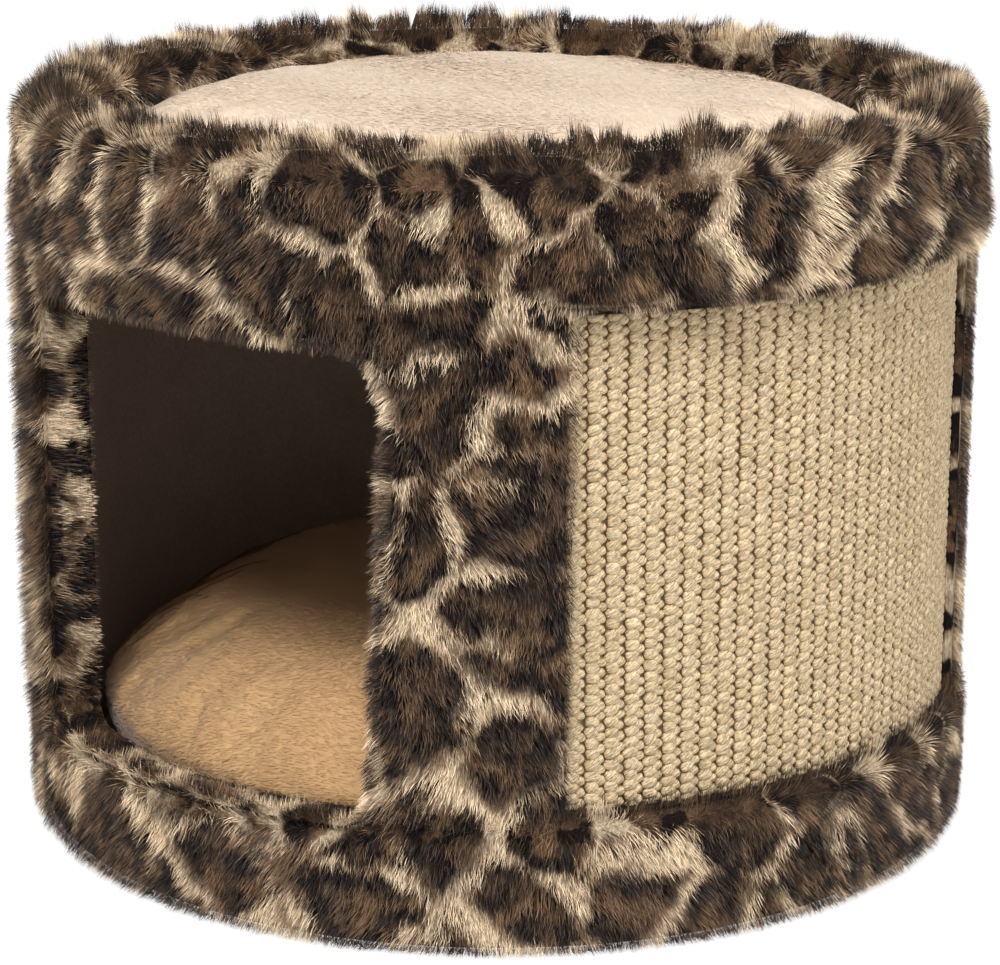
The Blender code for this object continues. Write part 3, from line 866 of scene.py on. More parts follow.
# %% Wall sheet
WALL_BOTTOM = foot_edge + 0.0006
WALL_TOP = rim_edge - 0.0004
SHEET_GAP = math.radians(0.1)
WALL_WOOL = 0.0050       # thickness of the wool on the tube, with its backing
WALL_MARGIN = 0.0055     # it ends this far outside the doorway's outline
wall_root = wall_radius - ROOT_DEPTH
wall_start, wall_end = SISAL_RIGHT + SHEET_GAP, SISAL_LEFT - SHEET_GAP + FULL

wall_cloth = wall_sheet(
    "wall_plush_wool", wall_root, WALL_WOOL, wall_start, wall_end,
    WALL_BOTTOM, WALL_TOP, WALL_MARGIN, wool,
)
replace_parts(wall_cloth, "wall_fur")

# %% Wall hair
FAN_REACH = 0.009        # hair leans over an edge from this far away
FAN = 0.75
OVERHANG = 0.0045        # the hair at the sisal's left edge starts this far over it at the top
OVERHANG_REACH = 0.022
HAIR_MARGIN = 0.0045     # the hair starts this far outside the doorway's outline
SHORT_TO = math.radians(112)     # short hair goes from the sisal's right edge to this angle

wall_line = np.array([[wall_root, WALL_BOTTOM], [wall_root, WALL_TOP - 0.002]])
for number in range(4):
    start = wall_start + number * (wall_end - wall_start) / 4
    end = start + (wall_end - wall_start) / 4
    roots = turned_roots(wall_line, FUR_DENSITY, start, end, 60 + number)
    angle, height = roots["angle"], roots["place"][:, 2]
    away = door_distance(angle, height) - HAIR_MARGIN
    roots = chosen(roots, away > 0.0)
    angle, height, away = angle[away > 0.0], height[away > 0.0], away[away > 0.0]
    round_part, up_part = door_slope(angle, height)
    near_door = np.clip(1.0 - away / FAN_REACH, 0.0, 1.0)
    near_left = np.clip(1.0 - (angle - wall_start) * wall_root / FAN_REACH, 0.0, 1.0)
    near_right = np.clip(1.0 - (wall_end - angle) * wall_root / FAN_REACH, 0.0, 1.0)
    climb = (height - WALL_BOTTOM) / (WALL_TOP - WALL_BOTTOM)
    over_edge = near_door * (1.0 + 3.0 * ((angle + math.pi) % FULL - math.pi < door_centre))
    sideways = FAN * (near_right * (0.1 + 0.3 * climb) - near_left - over_edge * round_part)
    moved = np.clip(1.0 - (wall_end - angle) * wall_root / OVERHANG_REACH, 0.0, 1.0)
    angle = angle + moved * OVERHANG * climb / wall_root
    roots["place"] = polar(wall_root, angle, height)
    roots["toward"] = sideways[:, None] * roots["round"] - (FAN * near_door * up_part)[:, None] * roots["up"]
    turned = (angle + math.pi) % FULL - math.pi
    # Short beside the sisal, and full on the left side of the drum
    beside_sisal = (turned > SISAL_RIGHT) & (turned < SHORT_TO)
    full = np.exp(-((turned - math.radians(-90)) / math.radians(24)) ** 4)
    length = HAIR * np.where(beside_sisal, 0.72, 1.05 + 0.55 * full - 0.35 * near_right)
    grow(f"wall_plush_hair_{number + 1}", roots, length, 70 + number, 0.5 * full)

# %% [markdown]
# The plush is turned round the tube's cut edge all round the doorway, where it makes a soft
# roll. Its section is a flat ellipse, carried along the doorway's outline.

# %% Doorway roll
ROLL_MARGIN = 0.0035     # middle of the roll, outside the doorway's outline
ROLL_HALF_WIDTH = 0.0013
ROLL_RADIUS = 0.1988
ROLL_HALF_DEPTH = 0.0102
ROLL_HAIR = 0.0062
ROLL_STEP = 0.001        # the outline's direction is taken between points this far to both sides
ROLL_SPOTS, ROLL_SIDES = 240, 16


def door_outline():
    """The doorway's outline on the unrolled wall: its points, and how far along each one lies."""
    left, right = DOOR_LEFT * tube_outer, DOOR_RIGHT * tube_outer
    foot, top = DOOR_FOOT_CORNER, DOOR_TOP_CORNER
    line = np.concatenate([
        corner(right - foot, DOOR_BOTTOM + foot, foot, -90, 0, 12),
        corner(right - top, DOOR_TOP - top, top, 0, 90, 16),
        corner(left + top, DOOR_TOP - top, top, 90, 180, 16),
        corner(left + foot, DOOR_BOTTOM + foot, foot, 180, 270, 12),
    ])
    line = np.concatenate([line, line[:1]])
    reach = np.concatenate([[0.0], np.cumsum(np.linalg.norm(np.diff(line, axis=0), axis=1))])
    return line, reach


def roll_surface(along, section):
    """The roll's surface at lengths along the outline and angles round the section: its place, its
    directions out, along and across, and the angle round the drum."""
    line, reach = door_outline()

    def spot_at(step):
        return np.stack([np.interp((along + step) % reach[-1], reach, line[:, axis]) for axis in (0, 1)], -1)

    forward = unit(spot_at(ROLL_STEP) - spot_at(-ROLL_STEP))
    away = np.stack([forward[:, 1], -forward[:, 0]], axis=-1)
    margin = ROLL_MARGIN + ROLL_HALF_WIDTH * np.cos(section)
    radius = ROLL_RADIUS + ROLL_HALF_DEPTH * np.sin(section)
    flat = spot_at(0.0) + away * margin[:, None]
    angle = slanted(flat[:, 0] / tube_outer, flat[:, 1])
    round_it, up, out = polar(1.0, angle + math.pi / 2, 0.0), -DOWN, polar(1.0, angle, 0.0)
    lift = unit(np.stack([np.cos(section) / ROLL_HALF_WIDTH, np.sin(section) / ROLL_HALF_DEPTH], axis=-1))
    normal = lift[:, :1] * (away[:, :1] * round_it + away[:, 1:] * up) + lift[:, 1:] * out
    run = forward[:, :1] * round_it + forward[:, 1:] * up
    return polar(radius, angle, flat[:, 1]), normal, run, np.cross(normal, run), angle


roll_length = door_outline()[1][-1]
along, section = crossed(
    np.linspace(0, roll_length, ROLL_SPOTS, endpoint=False), np.linspace(0, FULL, ROLL_SIDES, endpoint=False)
)
roll_faces = grid_faces(ROLL_SPOTS, ROLL_SIDES, True, True)
door_roll = grid_piece("doorway_plush_roll", roll_surface(along, section)[0], roll_faces, wool)
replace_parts(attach(door_roll, "drum"), "entrance_edge_fur")

rng = np.random.default_rng(80)
roll_count = int(roll_length * 2 * ROLL_HALF_DEPTH * 1e6 * FUR_DENSITY)
along = roll_length * rng.random(roll_count)
section = math.pi - np.arcsin(rng.uniform(-0.96, 1.0, roll_count))
place, normal, run, climb, angle = roll_surface(along, section)
roll_roots = {
    "place": place, "out": normal, "round": run, "up": climb, "angle": angle,
    "u": along, "v": ROLL_HALF_DEPTH * np.sin(section),
}
# Longer at the post on the right, brushed inwards on the left side, and short and outwards at the sill
at_post = np.clip((angle - slanted(DOOR_RIGHT, place[:, 2])) * tube_outer / 0.004 + 1.5, 0.0, 1.0)
at_jamb = np.clip((DOOR_LEFT - angle) * tube_outer / 0.004 + 1.5, 0.0, 1.0)
at_sill = np.clip((DOOR_BOTTOM + 0.012 - place[:, 2]) / 0.010, 0.0, 1.0)
outer = np.clip(np.sin(section), 0.0, 1.0)
on_jamb = at_jamb * (1.0 - at_sill)
roll_roots["toward"] = (0.35 + 0.95 * at_sill - 2.6 * on_jamb)[:, None] * polar(1.0, angle, 0.0)
jamb_share = 0.50 - 0.75 * (1.0 + np.sin(section)) / 2
roll_share = 1.0 + 0.45 * at_post - jamb_share * on_jamb - (0.62 - 0.55 * outer) * at_sill
grow("doorway_plush_hair", roll_roots, ROLL_HAIR * roll_share, 81, 0.0, 0.78 - 0.30 * on_jamb)

# %% [markdown]
# ## Sisal panel
#
# The scratching panel is a thick weave of sisal cord. It reads as upright columns, about eight
# millimetres wide, with a dark zigzag groove between them. In each column the yarn shows as a
# large stitch on the left and a smaller one on the right, half a row lower, whose rounded end
# reaches over the groove. The threads of both rise to the right. Each stitch is a small dome.
# All are placed at once, with small random changes so that no two are alike.


# %% Sisal materials
def sisal_look():
    """Sisal yarn: strands and fibres along each stitch, a tint of its own for each, and shade low down."""
    look = Look("sisal")
    yarn = look.attribute("yarn", "Vector")
    own = look.attribute("own")
    high = look.attribute("high")
    strands = look.noise(look.stretch(yarn, (0.16, 1.0, 1.0)), 2100.0, 2.0)
    fibres = look.noise(look.stretch(yarn, (0.20, 1.0, 1.0)), 5000.0, 2.0)
    colour = look.mix(own, (0.735, 0.560, 0.328), (0.88, 0.690, 0.440))
    streaked = colour * (0.28 + strands.ramp(0.34, 0.64) * 0.56 + fibres.ramp(0.30, 0.70) * 0.44)
    deep = look.mix(high.ramp(0.05, 0.66), (0.46, 0.33, 0.19), (1.0, 1.0, 1.0))
    return look.done(streaked * deep, 0.68, strands + fibres * 0.5, 0.0011, Specular_IOR_Level=0.3)


def ground_look():
    """Ground of the weave: sisal darker than the stitches, with painted shade along the grooves between the
    columns.
    """
    look = Look("sisal_ground")
    here = look.place()
    groove = look.attribute("groove")
    threads = look.noise(look.stretch(here, (1.0, 1.0, 0.4)), 1400.0, 3.0)
    plain = look.mix(threads, (0.34, 0.25, 0.14), (0.56, 0.42, 0.25))
    # Painted shade: the ground turns dark along the grooves between the columns
    return look.done(look.mix(groove.ramp(0.45, 0.95), plain, (0.11, 0.070, 0.032)), 0.9, threads, 0.0004)


sisal = sisal_look()
sisal_ground = ground_look()

# %% Stitches
PANEL_LOW, PANEL_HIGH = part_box("sisal_panel")
SISAL_COLUMNS = 30
SISAL_ROWS = 45
GROUND_RADIUS = 0.2010
STITCH_HEIGHT = 0.0028
STITCH_SUNK = 0.0004     # a stitch starts this far below the ground's surface
column_pitch = (SISAL_RIGHT - SISAL_LEFT) * GROUND_RADIUS / SISAL_COLUMNS
row_pitch = (PANEL_HIGH.z - PANEL_LOW.z) / (SISAL_ROWS - 1)
STITCHES = {
    "left": {"tilt": 16, "long": 0.0066, "wide": 0.0060, "across": 0.43, "up": 0.0, "high": 1.0},
    "right": {"tilt": 22, "long": 0.0046, "wide": 0.0044, "across": 0.80, "up": -0.46, "high": 0.92},
}
print("stitches", round(column_pitch * 1000, 2), "by", round(row_pitch * 1000, 2), "mm")

STRAY_ACROSS, STRAY_UP = 0.00018, 0.00016    # how far a stitch is off its place
TWIST = 36               # degrees by which the threads rise to the right
DOME_LONG, DOME_WIDE = 7, 6
p_line = np.sin(np.linspace(-math.pi / 2, math.pi / 2, DOME_LONG))
q_line = np.sin(np.linspace(-math.pi / 2, math.pi / 2, DOME_WIDE))
P, Q = crossed(p_line, q_line)


def border_ring():
    """Corner numbers round the edge of one dome, so that a flat face can close it underneath."""
    grid = np.arange(DOME_LONG * DOME_WIDE).reshape(DOME_LONG, DOME_WIDE)
    return np.concatenate([grid[0, :-1], grid[:-1, -1], grid[-1, :0:-1], grid[:0:-1, 0]])


def stitch_points(kind, seed):
    """Domes of one kind: the width falls towards the ends, and the height is a product of two round lines."""
    rng = np.random.default_rng(seed)
    facts = STITCHES[kind]
    row, column = (part[:, None] for part in crossed(np.arange(SISAL_ROWS), np.arange(SISAL_COLUMNS)))
    shape = column.shape
    tilt = np.radians(facts["tilt"] + rng.normal(0, 8, shape))
    long_half = facts["long"] / 2 * rng.uniform(0.88, 1.10, shape)
    wide_half = facts["wide"] / 2 * rng.uniform(0.86, 1.10, shape)
    a = P * long_half
    b = Q * wide_half * (0.34 + 0.66 * np.sqrt(1 - P ** 2))
    lean = 0.10 * P
    dome = (1 - P ** 4) ** 0.5 * (1 - Q ** 2) ** 0.5
    strands = 0.05 * np.cos(3.3 * math.pi * Q + 1.3 * P) * dome
    high = np.maximum(dome * (0.94 + lean) + strands, 0.0) * facts["high"] * rng.uniform(0.88, 1.0, shape)
    u = (column + facts["across"]) * column_pitch + a * np.cos(tilt) - b * np.sin(tilt)
    u = u + rng.normal(0, STRAY_ACROSS, shape)
    v = (row - 0.1 + facts["up"]) * row_pitch + a * np.sin(tilt) + b * np.cos(tilt)
    v = v + rng.normal(0, STRAY_UP, shape)
    v = v + 0.0009 * wander(np.stack([u.ravel(), v.ravel(), 0 * u.ravel()], -1), 0.03, 5).reshape(u.shape)
    angle = SISAL_LEFT + np.clip(u / GROUND_RADIUS, 0.0, SISAL_RIGHT - SISAL_LEFT)
    height = PANEL_LOW.z + np.clip(v, 0.0, PANEL_HIGH.z - PANEL_LOW.z)
    points = polar(GROUND_RADIUS - STITCH_SUNK + STITCH_HEIGHT * high, angle, height)
    turn = np.radians(TWIST - facts["tilt"])
    along_thread = a * np.cos(turn) + b * np.sin(turn)
    across_thread = b * np.cos(turn) - a * np.sin(turn)
    apart = [0.02 * rng.random(shape) for axis in range(3)]
    deep = np.broadcast_to(apart[2], a.shape)
    yarn = np.stack([along_thread + apart[0], across_thread + apart[1], deep], axis=-1)
    own = np.broadcast_to(np.clip(rng.normal(0.5, 0.25, shape), 0, 1), a.shape)
    return points, yarn, own, high


for number, kind in enumerate(STITCHES):
    points, yarn, own, high = stitch_points(kind, 90 + number)
    count, each = points.shape[:2]
    quads = grid_faces(DOME_LONG, DOME_WIDE)
    ring = border_ring()
    pattern = list(quads.ravel()) + list(ring)
    corners, starts = blade_faces(count, pattern, [4] * len(quads) + [len(ring)], each)
    piece = mesh_from(f"sisal_stitches_{kind}", points.reshape(-1, 3), corners, starts, sisal)
    carry(piece.data, "yarn", "FLOAT_VECTOR", yarn.reshape(-1, 3))
    carry(piece.data, "own", "FLOAT", own.ravel())
    carry(piece.data, "high", "FLOAT", high.ravel())
    spots = np.stack([0.05 + 0.45 * (P + 1), 0.05 + 0.45 * (Q + 1)], axis=-1)
    bake_map(piece.data, count, pattern, spots)
    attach(piece, "drum")
    print(piece.name, count, "stitches,", len(starts), "faces")

# %% Ground of the weave
GROUND_STEPS, GROUND_ROWS = 6 * SISAL_COLUMNS + 1, 12
GROUND_THICK = 0.0014
angle, height = crossed(
    np.linspace(SISAL_LEFT, SISAL_RIGHT, GROUND_STEPS), np.linspace(PANEL_LOW.z, PANEL_HIGH.z, GROUND_ROWS)
)
ground_faces = grid_faces(GROUND_STEPS, GROUND_ROWS)
ground = grid_piece("sisal_ground", polar(GROUND_RADIUS, angle, height), ground_faces, sisal_ground)
in_column = (angle - SISAL_LEFT) * GROUND_RADIUS / column_pitch
# Where the painted shade of the groove falls: near each column's left edge
carry(ground.data, "groove", "FLOAT", 0.5 + 0.5 * np.cos(2 * math.pi * (in_column - 0.04)))
solid = ground.modifiers.new("thickness", "SOLIDIFY")
solid.thickness = GROUND_THICK
solid.offset = -1.0
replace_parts(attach(ground, "drum"), "sisal_panel")

# %% [markdown]
# ## Cushions
#
# Both cushions are loose: a round of short beige plush above and a round of felt below, sewn
# together at the edge and stuffed. A cloth simulation blows each one up a little from a flat
# turned shape, as the stuffing does, so that it swells unevenly between its seam and its middle.


# %% Cushion materials
def pile_look(name, colour, shade_to):
    """Short beige plush: painted shade low down and painted light at the tips, with soft patches of painted
    light and shade where the pile lies another way.
    """
    look = Look(name)
    here = look.place()
    own = look.attribute("own")
    along = look.attribute("along")
    brushed = look.noise(look.stretch(here, (1.0, 1.0, 0.3)), 32.0, 3.0)
    fine = look.noise(here, 260.0, 2.0)
    # Patches between the lit colour and shade_to: painted light and shade where the pile lies another way
    base = look.mix(brushed.ramp(0.35, 0.68), shade_to, colour)
    # Painted shade near the roots and painted light at the tips, with each blade's own tone and fine grain
    shade = (0.95 + along * 0.07) * (0.975 + own * 0.05) * (0.965 + fine * 0.07)
    return look.done(base * shade, 0.8, Specular_IOR_Level=0.12, Sheen_Weight=0.15, Sheen_Roughness=0.5)


def felt_look(name, colour, scale=520.0):
    """Needle felt: short fibres pressed flat, with a mottled tone."""
    look = Look(name)
    here = look.place()
    fibres = look.noise(here, scale, 4.0)
    tone = look.noise(here, 40.0, 2.0)
    shade = (0.70 + fibres * 0.60) * (0.85 + tone * 0.30)
    return look.done(look.mix(0.0, colour, colour) * shade, 0.93, fibres, 0.0005, Sheen_Weight=0.1)


top_pile = pile_look("top_cushion_plush", (0.75, 0.605, 0.465), (0.72, 0.575, 0.435))
lower_pile = pile_look("lower_cushion_plush", (0.64, 0.405, 0.205), (0.58, 0.36, 0.177))
grey_felt = felt_look("grey_felt", (0.16, 0.135, 0.11))
dark_felt = felt_look("dark_felt", (0.35, 0.265, 0.205))
black_cover = felt_look("black_cover", (0.014, 0.014, 0.014), 800.0)

# %% Cushion shape
# Radius, heights and fullness: the crown falls as this power of the radius, and rises by its tilt
# for each metre to the right and to the back
CUSHIONS = {
    "top": {
        "edge": 0.1740, "base": 0.2732, "seam": 0.2918, "crown": 0.3192, "power": 15, "tilt": (0.0, 0.0),
        "pile": top_pile, "body": "top_cushion", "grain": 110, "brushed": (-0.90, 0.43), "rise": 0.12,
    },
    "lower": {
        "edge": 0.1835, "base": 0.0174, "seam": 0.0485, "crown": 0.0932, "power": 7, "tilt": (0.007, 0.012),
        "pile": lower_pile, "body": "lower_cushion", "grain": 120, "brushed": (-0.72, -0.69), "rise": 0.22,
    },
}
CUSHION_TURN = 0.030     # width of the curved edge round the flat underside
SWELL = 0.0025           # the start shape is this much smaller all over
REMESH = 0.005
PRESSURE = 4.0
STEPS = 20
MOVE_CAP = 0.008
SEAM_DEEP, SEAM_HIGH = 0.007, 0.006     # points this near to the seam are held


def cushion_outline(facts, inset):
    """Half section: flat underneath, a curve out to the seam, and a crown whose height is the root of
    (1 - radius to a high power)."""
    edge = facts["edge"] - inset
    flat = facts["edge"] - CUSHION_TURN
    under = np.linspace(0.0, 1.0, 9)
    r_under = flat + (edge - flat) * np.sin(under * math.pi / 2)
    z_under = facts["seam"] - (facts["seam"] - facts["base"] - inset) * np.cos(under * math.pi / 2) ** 0.9
    over = np.sin(np.linspace(math.pi / 2, 0.0, 32))
    z_over = facts["seam"] + (facts["crown"] - inset - facts["seam"]) * np.sqrt(1.0 - over ** facts["power"])
    lower = np.stack([np.concatenate([np.linspace(0.0, flat, 8)[:-1], r_under]),
                      np.concatenate([np.full(7, facts["base"] + inset), z_under])], axis=-1)
    return np.concatenate([lower, np.stack([edge * over, z_over], axis=-1)[1:]])


def baked(piece):
    """The piece's mesh with its modifiers applied."""
    shown = piece.evaluated_get(bpy.context.evaluated_depsgraph_get())
    return bpy.data.meshes.new_from_object(shown)


def blown_up(piece, facts):
    """Remesh the shape, hold its seam and let pressure fill it. No point moves further than the cap."""
    scene = bpy.context.scene
    even = piece.modifiers.new("even", "REMESH")
    even.mode = "VOXEL"
    even.voxel_size = REMESH
    piece.data = baked(piece)
    piece.modifiers.clear()
    before = points_of(piece.data)
    at_seam = np.hypot(before[:, 0], before[:, 1]) > facts["edge"] - SWELL - SEAM_DEEP
    at_seam &= np.abs(before[:, 2] - facts["seam"]) < SEAM_HIGH
    held = piece.vertex_groups.new(name="seam")
    held.add(np.flatnonzero(at_seam).tolist(), 1.0, "REPLACE")
    cloth = piece.modifiers.new("cloth", "CLOTH")
    cloth.settings.vertex_group_mass = "seam"
    cloth.settings.use_pressure = True
    cloth.settings.uniform_pressure_force = PRESSURE
    cloth.settings.effector_weights.gravity = 0.0
    cloth.point_cache.frame_end = STEPS
    for step in range(1, STEPS + 1):
        scene.frame_set(step)
    after = points_of(baked(piece))
    scene.frame_set(1)
    piece.modifiers.clear()
    move = after - before
    far = np.linalg.norm(move, axis=1, keepdims=True)
    move = move * np.minimum(1.0, MOVE_CAP / np.maximum(far, 1e-9))
    print(piece.name, "moved", round(float(far.max()) * 1000, 1), "mm at most, capped at", MOVE_CAP * 1000)
    return before + move


# %% Make the cushions
SEAM_DIP = 0.0016        # the seam draws the cover in by this much
SEAM_PUCKERS = 58        # it does so unevenly, this many times round the cushion
LUMPS = 0.0010           # the wadding's lumps under the cover


def make_cushion(kind, facts):
    """Cushion of one kind: simulated, kept inside its room, creased along the seam and smoothed."""
    piece = turned_piece(f"{kind}_cushion_pad", cushion_outline(facts, SWELL), facts["pile"], 96)
    points = blown_up(piece, facts)
    radius = np.hypot(points[:, 0], points[:, 1])
    angle = np.arctan2(points[:, 1], points[:, 0])
    beside = np.exp(-((points[:, 2] - facts["seam"]) / 0.003) ** 2) * (radius > facts["edge"] - 0.02)
    drawn = SEAM_DIP * beside * (0.6 + 0.4 * np.sin(SEAM_PUCKERS * angle))
    radius_new = np.minimum(radius, facts["edge"] + 0.0010) - drawn
    points[:, :2] *= (radius_new / np.maximum(radius, 1e-9))[:, None]
    points[:, 2] += LUMPS * wander(points, 0.05, facts["grain"]) * (points[:, 2] > facts["seam"])
    points[:, 2] = np.clip(points[:, 2], facts["base"], None)
    over = points[:, 2] - facts["crown"]
    points[:, 2] = np.where(over > 0, facts["crown"] + 0.25 * over, points[:, 2])
    share = np.clip((points[:, 2] - facts["base"]) / (facts["crown"] - facts["base"]), 0.0, 1.0)
    points[:, 2] += share * (points[:, :2] @ np.array(facts["tilt"]))
    piece.data.vertices.foreach_set("co", points.astype(np.float32).ravel())
    smooth = piece.modifiers.new("smooth", "SUBSURF")
    smooth.levels = 1
    smooth.render_levels = 1
    piece.data = baked(piece)
    piece.modifiers.clear()
    mesh = piece.data
    mesh.materials.clear()
    mesh.materials.append(facts["pile"])
    mesh.materials.append(grey_felt)
    centres = np.empty(len(mesh.polygons) * 3, np.float32)
    mesh.polygons.foreach_get("center", centres)
    below = centres.reshape(-1, 3)[:, 2] < facts["seam"]
    mesh.polygons.foreach_set("material_index", below.astype(np.int32))
    mesh.polygons.foreach_set("use_smooth", np.ones(len(mesh.polygons), bool))
    carry(mesh, "own", "FLOAT", np.full(len(mesh.vertices), 0.5))
    # The pad between the blades takes the painted shade of the pile's lower part
    carry(mesh, "along", "FLOAT", np.full(len(mesh.vertices), 0.35))
    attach(piece, facts["body"])
    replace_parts(piece, *[f"{kind}_cushion_{part}" for part in ("cover", "base", "filling")])
    top = points_of(mesh)[:, 2].max()
    print(piece.name, len(mesh.vertices), "points, crown at", round(float(top) * 1000, 1), "mm")
    return piece


cushion_pads = {kind: make_cushion(kind, facts) for kind, facts in CUSHIONS.items()}

# %% [markdown]
# The short pile of the cushions is made of single triangles. Their roots are spread over the
# finished cushion by area, and they lean the way that the pile is brushed.

# %% Short pile
PILE = 0.0027            # length of a blade
PILE_HALF_WIDTH = 0.00036
PILE_TUFT, PILE_GATHER = 0.0032, 0.22    # size of its tufts, and how far the tips gather in them
PILE_DENSITY = 1.15      # blades on a square millimetre


def scattered_roots(mesh, lowest, per_square_mm, seed):
    """Random places on the faces whose middle is above a height, spread by area, with the normals there."""
    mesh.calc_loop_triangles()
    triangles = np.empty(len(mesh.loop_triangles) * 3, np.int32)
    mesh.loop_triangles.foreach_get("vertices", triangles)
    corners = points_of(mesh)[triangles.reshape(-1, 3)]
    corners = corners[corners[:, :, 2].mean(axis=1) > lowest]
    normal = np.cross(corners[:, 1] - corners[:, 0], corners[:, 2] - corners[:, 0])
    area = np.linalg.norm(normal, axis=1) / 2
    rng = np.random.default_rng(seed)
    count = int(area.sum() * 1e6 * per_square_mm)
    pick = np.searchsorted(np.cumsum(area) / area.sum(), rng.random(count)).clip(0, len(area) - 1)
    s, t = np.sqrt(rng.random(count))[:, None], rng.random(count)[:, None]
    chosen_corners = corners[pick]
    place = (1 - s) * chosen_corners[:, 0] + s * (1 - t) * chosen_corners[:, 1] + s * t * chosen_corners[:, 2]
    return place, unit(normal[pick])


def grow_pile(kind, facts, pad):
    """Leaning blades of one triangle each. They take the light as the cushion's surface does,
    because real pile is too fine to see singly."""
    place, normal = scattered_roots(pad.data, facts["seam"] - 0.0030, PILE_DENSITY, facts["grain"])
    rng = np.random.default_rng(facts["grain"] + 1)
    count = len(place)
    way_u, way_v, swing, lift = nearest_lock(place[:, 0], place[:, 1], PILE_TUFT, facts["grain"] + 2)
    turn = 0.9 * wander(place, 0.05, facts["grain"] + 3) + 0.4 * (swing - 0.5) + rng.normal(0, 0.15, count)
    x, y = facts["brushed"]
    turned = (x * np.cos(turn) - y * np.sin(turn), x * np.sin(turn) + y * np.cos(turn), 0.0 * turn)
    lean = np.stack(turned, axis=-1)
    lean = unit(lean - normal * (lean * normal).sum(axis=1, keepdims=True))
    rise = facts["rise"] * (1.0 + 0.5 * lift + rng.normal(0, 0.2, count))[:, None]
    way = unit(lean + rise * normal)
    tip = place + PILE * (0.75 + 0.5 * rng.random(count))[:, None] * way
    tip[:, 0] += PILE_GATHER * way_u
    tip[:, 1] += PILE_GATHER * way_v
    flat = unit(np.cross(way, normal) + rng.normal(0, 0.12, (count, 3)))
    half = PILE_HALF_WIDTH * rng.uniform(0.8, 1.3, count)[:, None] * flat
    points = np.stack([place - half, place + half, tip], axis=1)
    corners, starts = blade_faces(count, [0, 1, 2], [3], 3)
    piece = mesh_from(f"{kind}_cushion_pile", points.reshape(-1, 3), corners, starts, facts["pile"])
    piece.data.normals_split_custom_set_from_vertices(np.repeat(unit(normal + 0.25 * way), 3, axis=0))
    carry(piece.data, "own", "FLOAT", np.repeat(rng.random(count), 3))
    carry(piece.data, "along", "FLOAT", np.tile([0.0, 0.0, 1.0], count))
    bake_map(piece.data, count, [0, 1, 2], [(0.1, 0.1), (0.9, 0.1), (0.5, 0.9)])
    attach(piece, facts["body"])
    print(piece.name, count, "blades")


for kind, facts in CUSHIONS.items():
    grow_pile(kind, facts, cushion_pads[kind])

# %% [markdown]
# ## Felt linings
#
# Felt is glued to the inside of the tube, to the floor, under the tray and on it, and a black
# cover closes the drum underneath. Each is one cut of felt, made as a thin closed shape.

# %% Wall lining
felt_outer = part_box("wall_lining")[1].x
felt_low, felt_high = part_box("wall_lining")[0].z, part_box("wall_lining")[1].z
SEAM_ANGLE = math.radians(0.08)      # half the gap where the lining's ends meet at the back
FELT_THICK = 0.002
FELT_SHORT = 0.0005                  # the lining is this much shorter than its solid at each end
FELT_MARGIN = 0.0053                 # it ends this far outside the doorway's outline
lining = wall_sheet(
    "wall_felt", felt_outer, FELT_THICK, -math.pi + SEAM_ANGLE, math.pi - SEAM_ANGLE,
    felt_low + FELT_SHORT, felt_high - FELT_SHORT, FELT_MARGIN, dark_felt,
)
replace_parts(lining, "wall_lining")


# %% Round linings
def felt_disc(name, node, material):
    """A disc of felt in the place of its node, with rounded edges."""
    low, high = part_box(node)
    edge = (high.z - low.z) / 2
    radius = high.x - 0.0002
    rings = np.linspace(0.0, radius - edge, 14)
    bottom = np.stack([rings, np.full(14, low.z)], axis=-1)
    outside = corner(radius - edge, low.z + edge, edge, -90, 90, 6)[1:-1]
    top = np.stack([rings[::-1], np.full(14, high.z)], axis=-1)
    disc = turned_piece(name, np.concatenate([bottom, outside, top]), material, 96)
    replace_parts(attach(disc, "drum"), node)
    print(name, "cut to", round(2 * radius * 1000), "mm across")
    return disc


felt_disc("floor_felt", "floor_lining", dark_felt)
felt_disc("ceiling_felt", "ceiling_lining", dark_felt)
felt_disc("tray_felt", "tray_lining", grey_felt)
felt_disc("underside_felt", "underside_cover", black_cover)


# %% [markdown]
# ## Finishes of the hidden pieces
#
# The tube, boards, foam, screws and staples keep the shape of the construction model and get
# the finish of their own material.


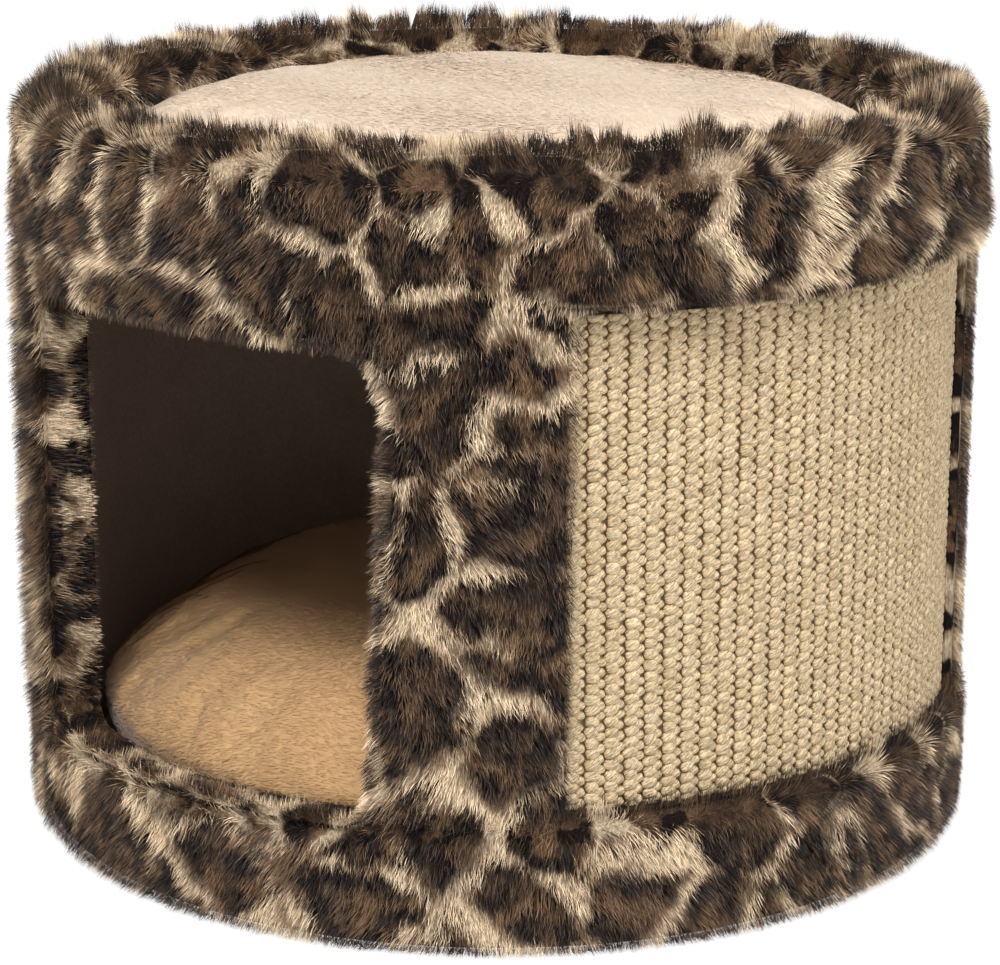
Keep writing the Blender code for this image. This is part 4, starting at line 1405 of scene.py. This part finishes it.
# %% Card, board, foam and steel
def card_look():
    """Wound cardboard: paper fibres, and a spiral line where each strip of card meets the next."""
    look = Look("wound_card")
    here = look.place()
    fibres = look.noise(look.stretch(here, (1.0, 1.0, 3.0)), 300.0, 3.0)
    bands = {"wave_type": "BANDS", "bands_direction": "Z"}
    wound = look.node("TexWave", bands, {"Vector": here, "Scale": 4.5, "Distortion": 0.4}, 1)
    line = wound.ramp(0.0, 0.06)
    colour = look.mix(fibres, (0.27, 0.19, 0.115), (0.37, 0.27, 0.17))
    return look.done(look.mix(line, (0.16, 0.11, 0.065), colour), 0.85, fibres, 0.0002)


def board_look():
    """Raw fibreboard: fine pressed fibres with darker specks."""
    look = Look("fibreboard")
    here = look.place()
    fibres = look.noise(here, 700.0, 4.0)
    specks = look.noise(here, 260.0, 1.0).ramp(0.62, 0.70)
    colour = look.mix(fibres, (0.33, 0.24, 0.15), (0.43, 0.32, 0.21))
    return look.done(look.mix(specks, colour, (0.22, 0.15, 0.09)), 0.8, fibres, 0.0002)


def foam_look():
    """Open-cell foam: a fine bubble pattern."""
    look = Look("foam")
    here = look.place()
    cells = look.node("TexVoronoi", {"feature": "F1"}, {"Vector": here, "Scale": 900.0})
    colour = look.mix(cells, (0.78, 0.75, 0.62), (0.66, 0.62, 0.48))
    return look.done(colour, 0.95, cells, 0.0006)


def backing_cloth_look():
    """Back of the sisal panel: latex over an open jute weave."""
    look = Look("sisal_backing")
    here = look.place()
    jute = look.noise(look.stretch(here, (1.0, 1.0, 0.3)), 650.0, 3.0)
    return look.done(look.mix(jute, (0.30, 0.22, 0.125), (0.46, 0.36, 0.235)), 0.85, jute, 0.0006)


def steel_look():
    """Zinc plated steel, brushed by the driver's bit."""
    look = Look("zinc_steel")
    here = look.place()
    wear = look.noise(here, 1200.0, 2.0)
    return look.done(look.mix(wear, (0.42, 0.42, 0.43), (0.62, 0.62, 0.63)), 0.25 + wear * 0.25, Metallic=1.0)


finishes = {
    "shell_tube": card_look(), "base_board": board_look(),
    "rim_foam": foam_look(), "sisal_backing": backing_cloth_look(),
}
finishes["tray_board"] = finishes["base_board"]
finishes["base_foam"] = finishes["rim_foam"]
steel = steel_look()
for name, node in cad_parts.items():
    look = steel if "screw" in name or "staple" in name else finishes.get(name)
    if look:
        node.data.materials.clear()
        node.data.materials.append(look)
print("finished", len(finishes), "kinds of hidden piece")

# %% The object's size at the end
low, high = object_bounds()
print("visual box", [round(x * 1000, 1) for x in high - low])
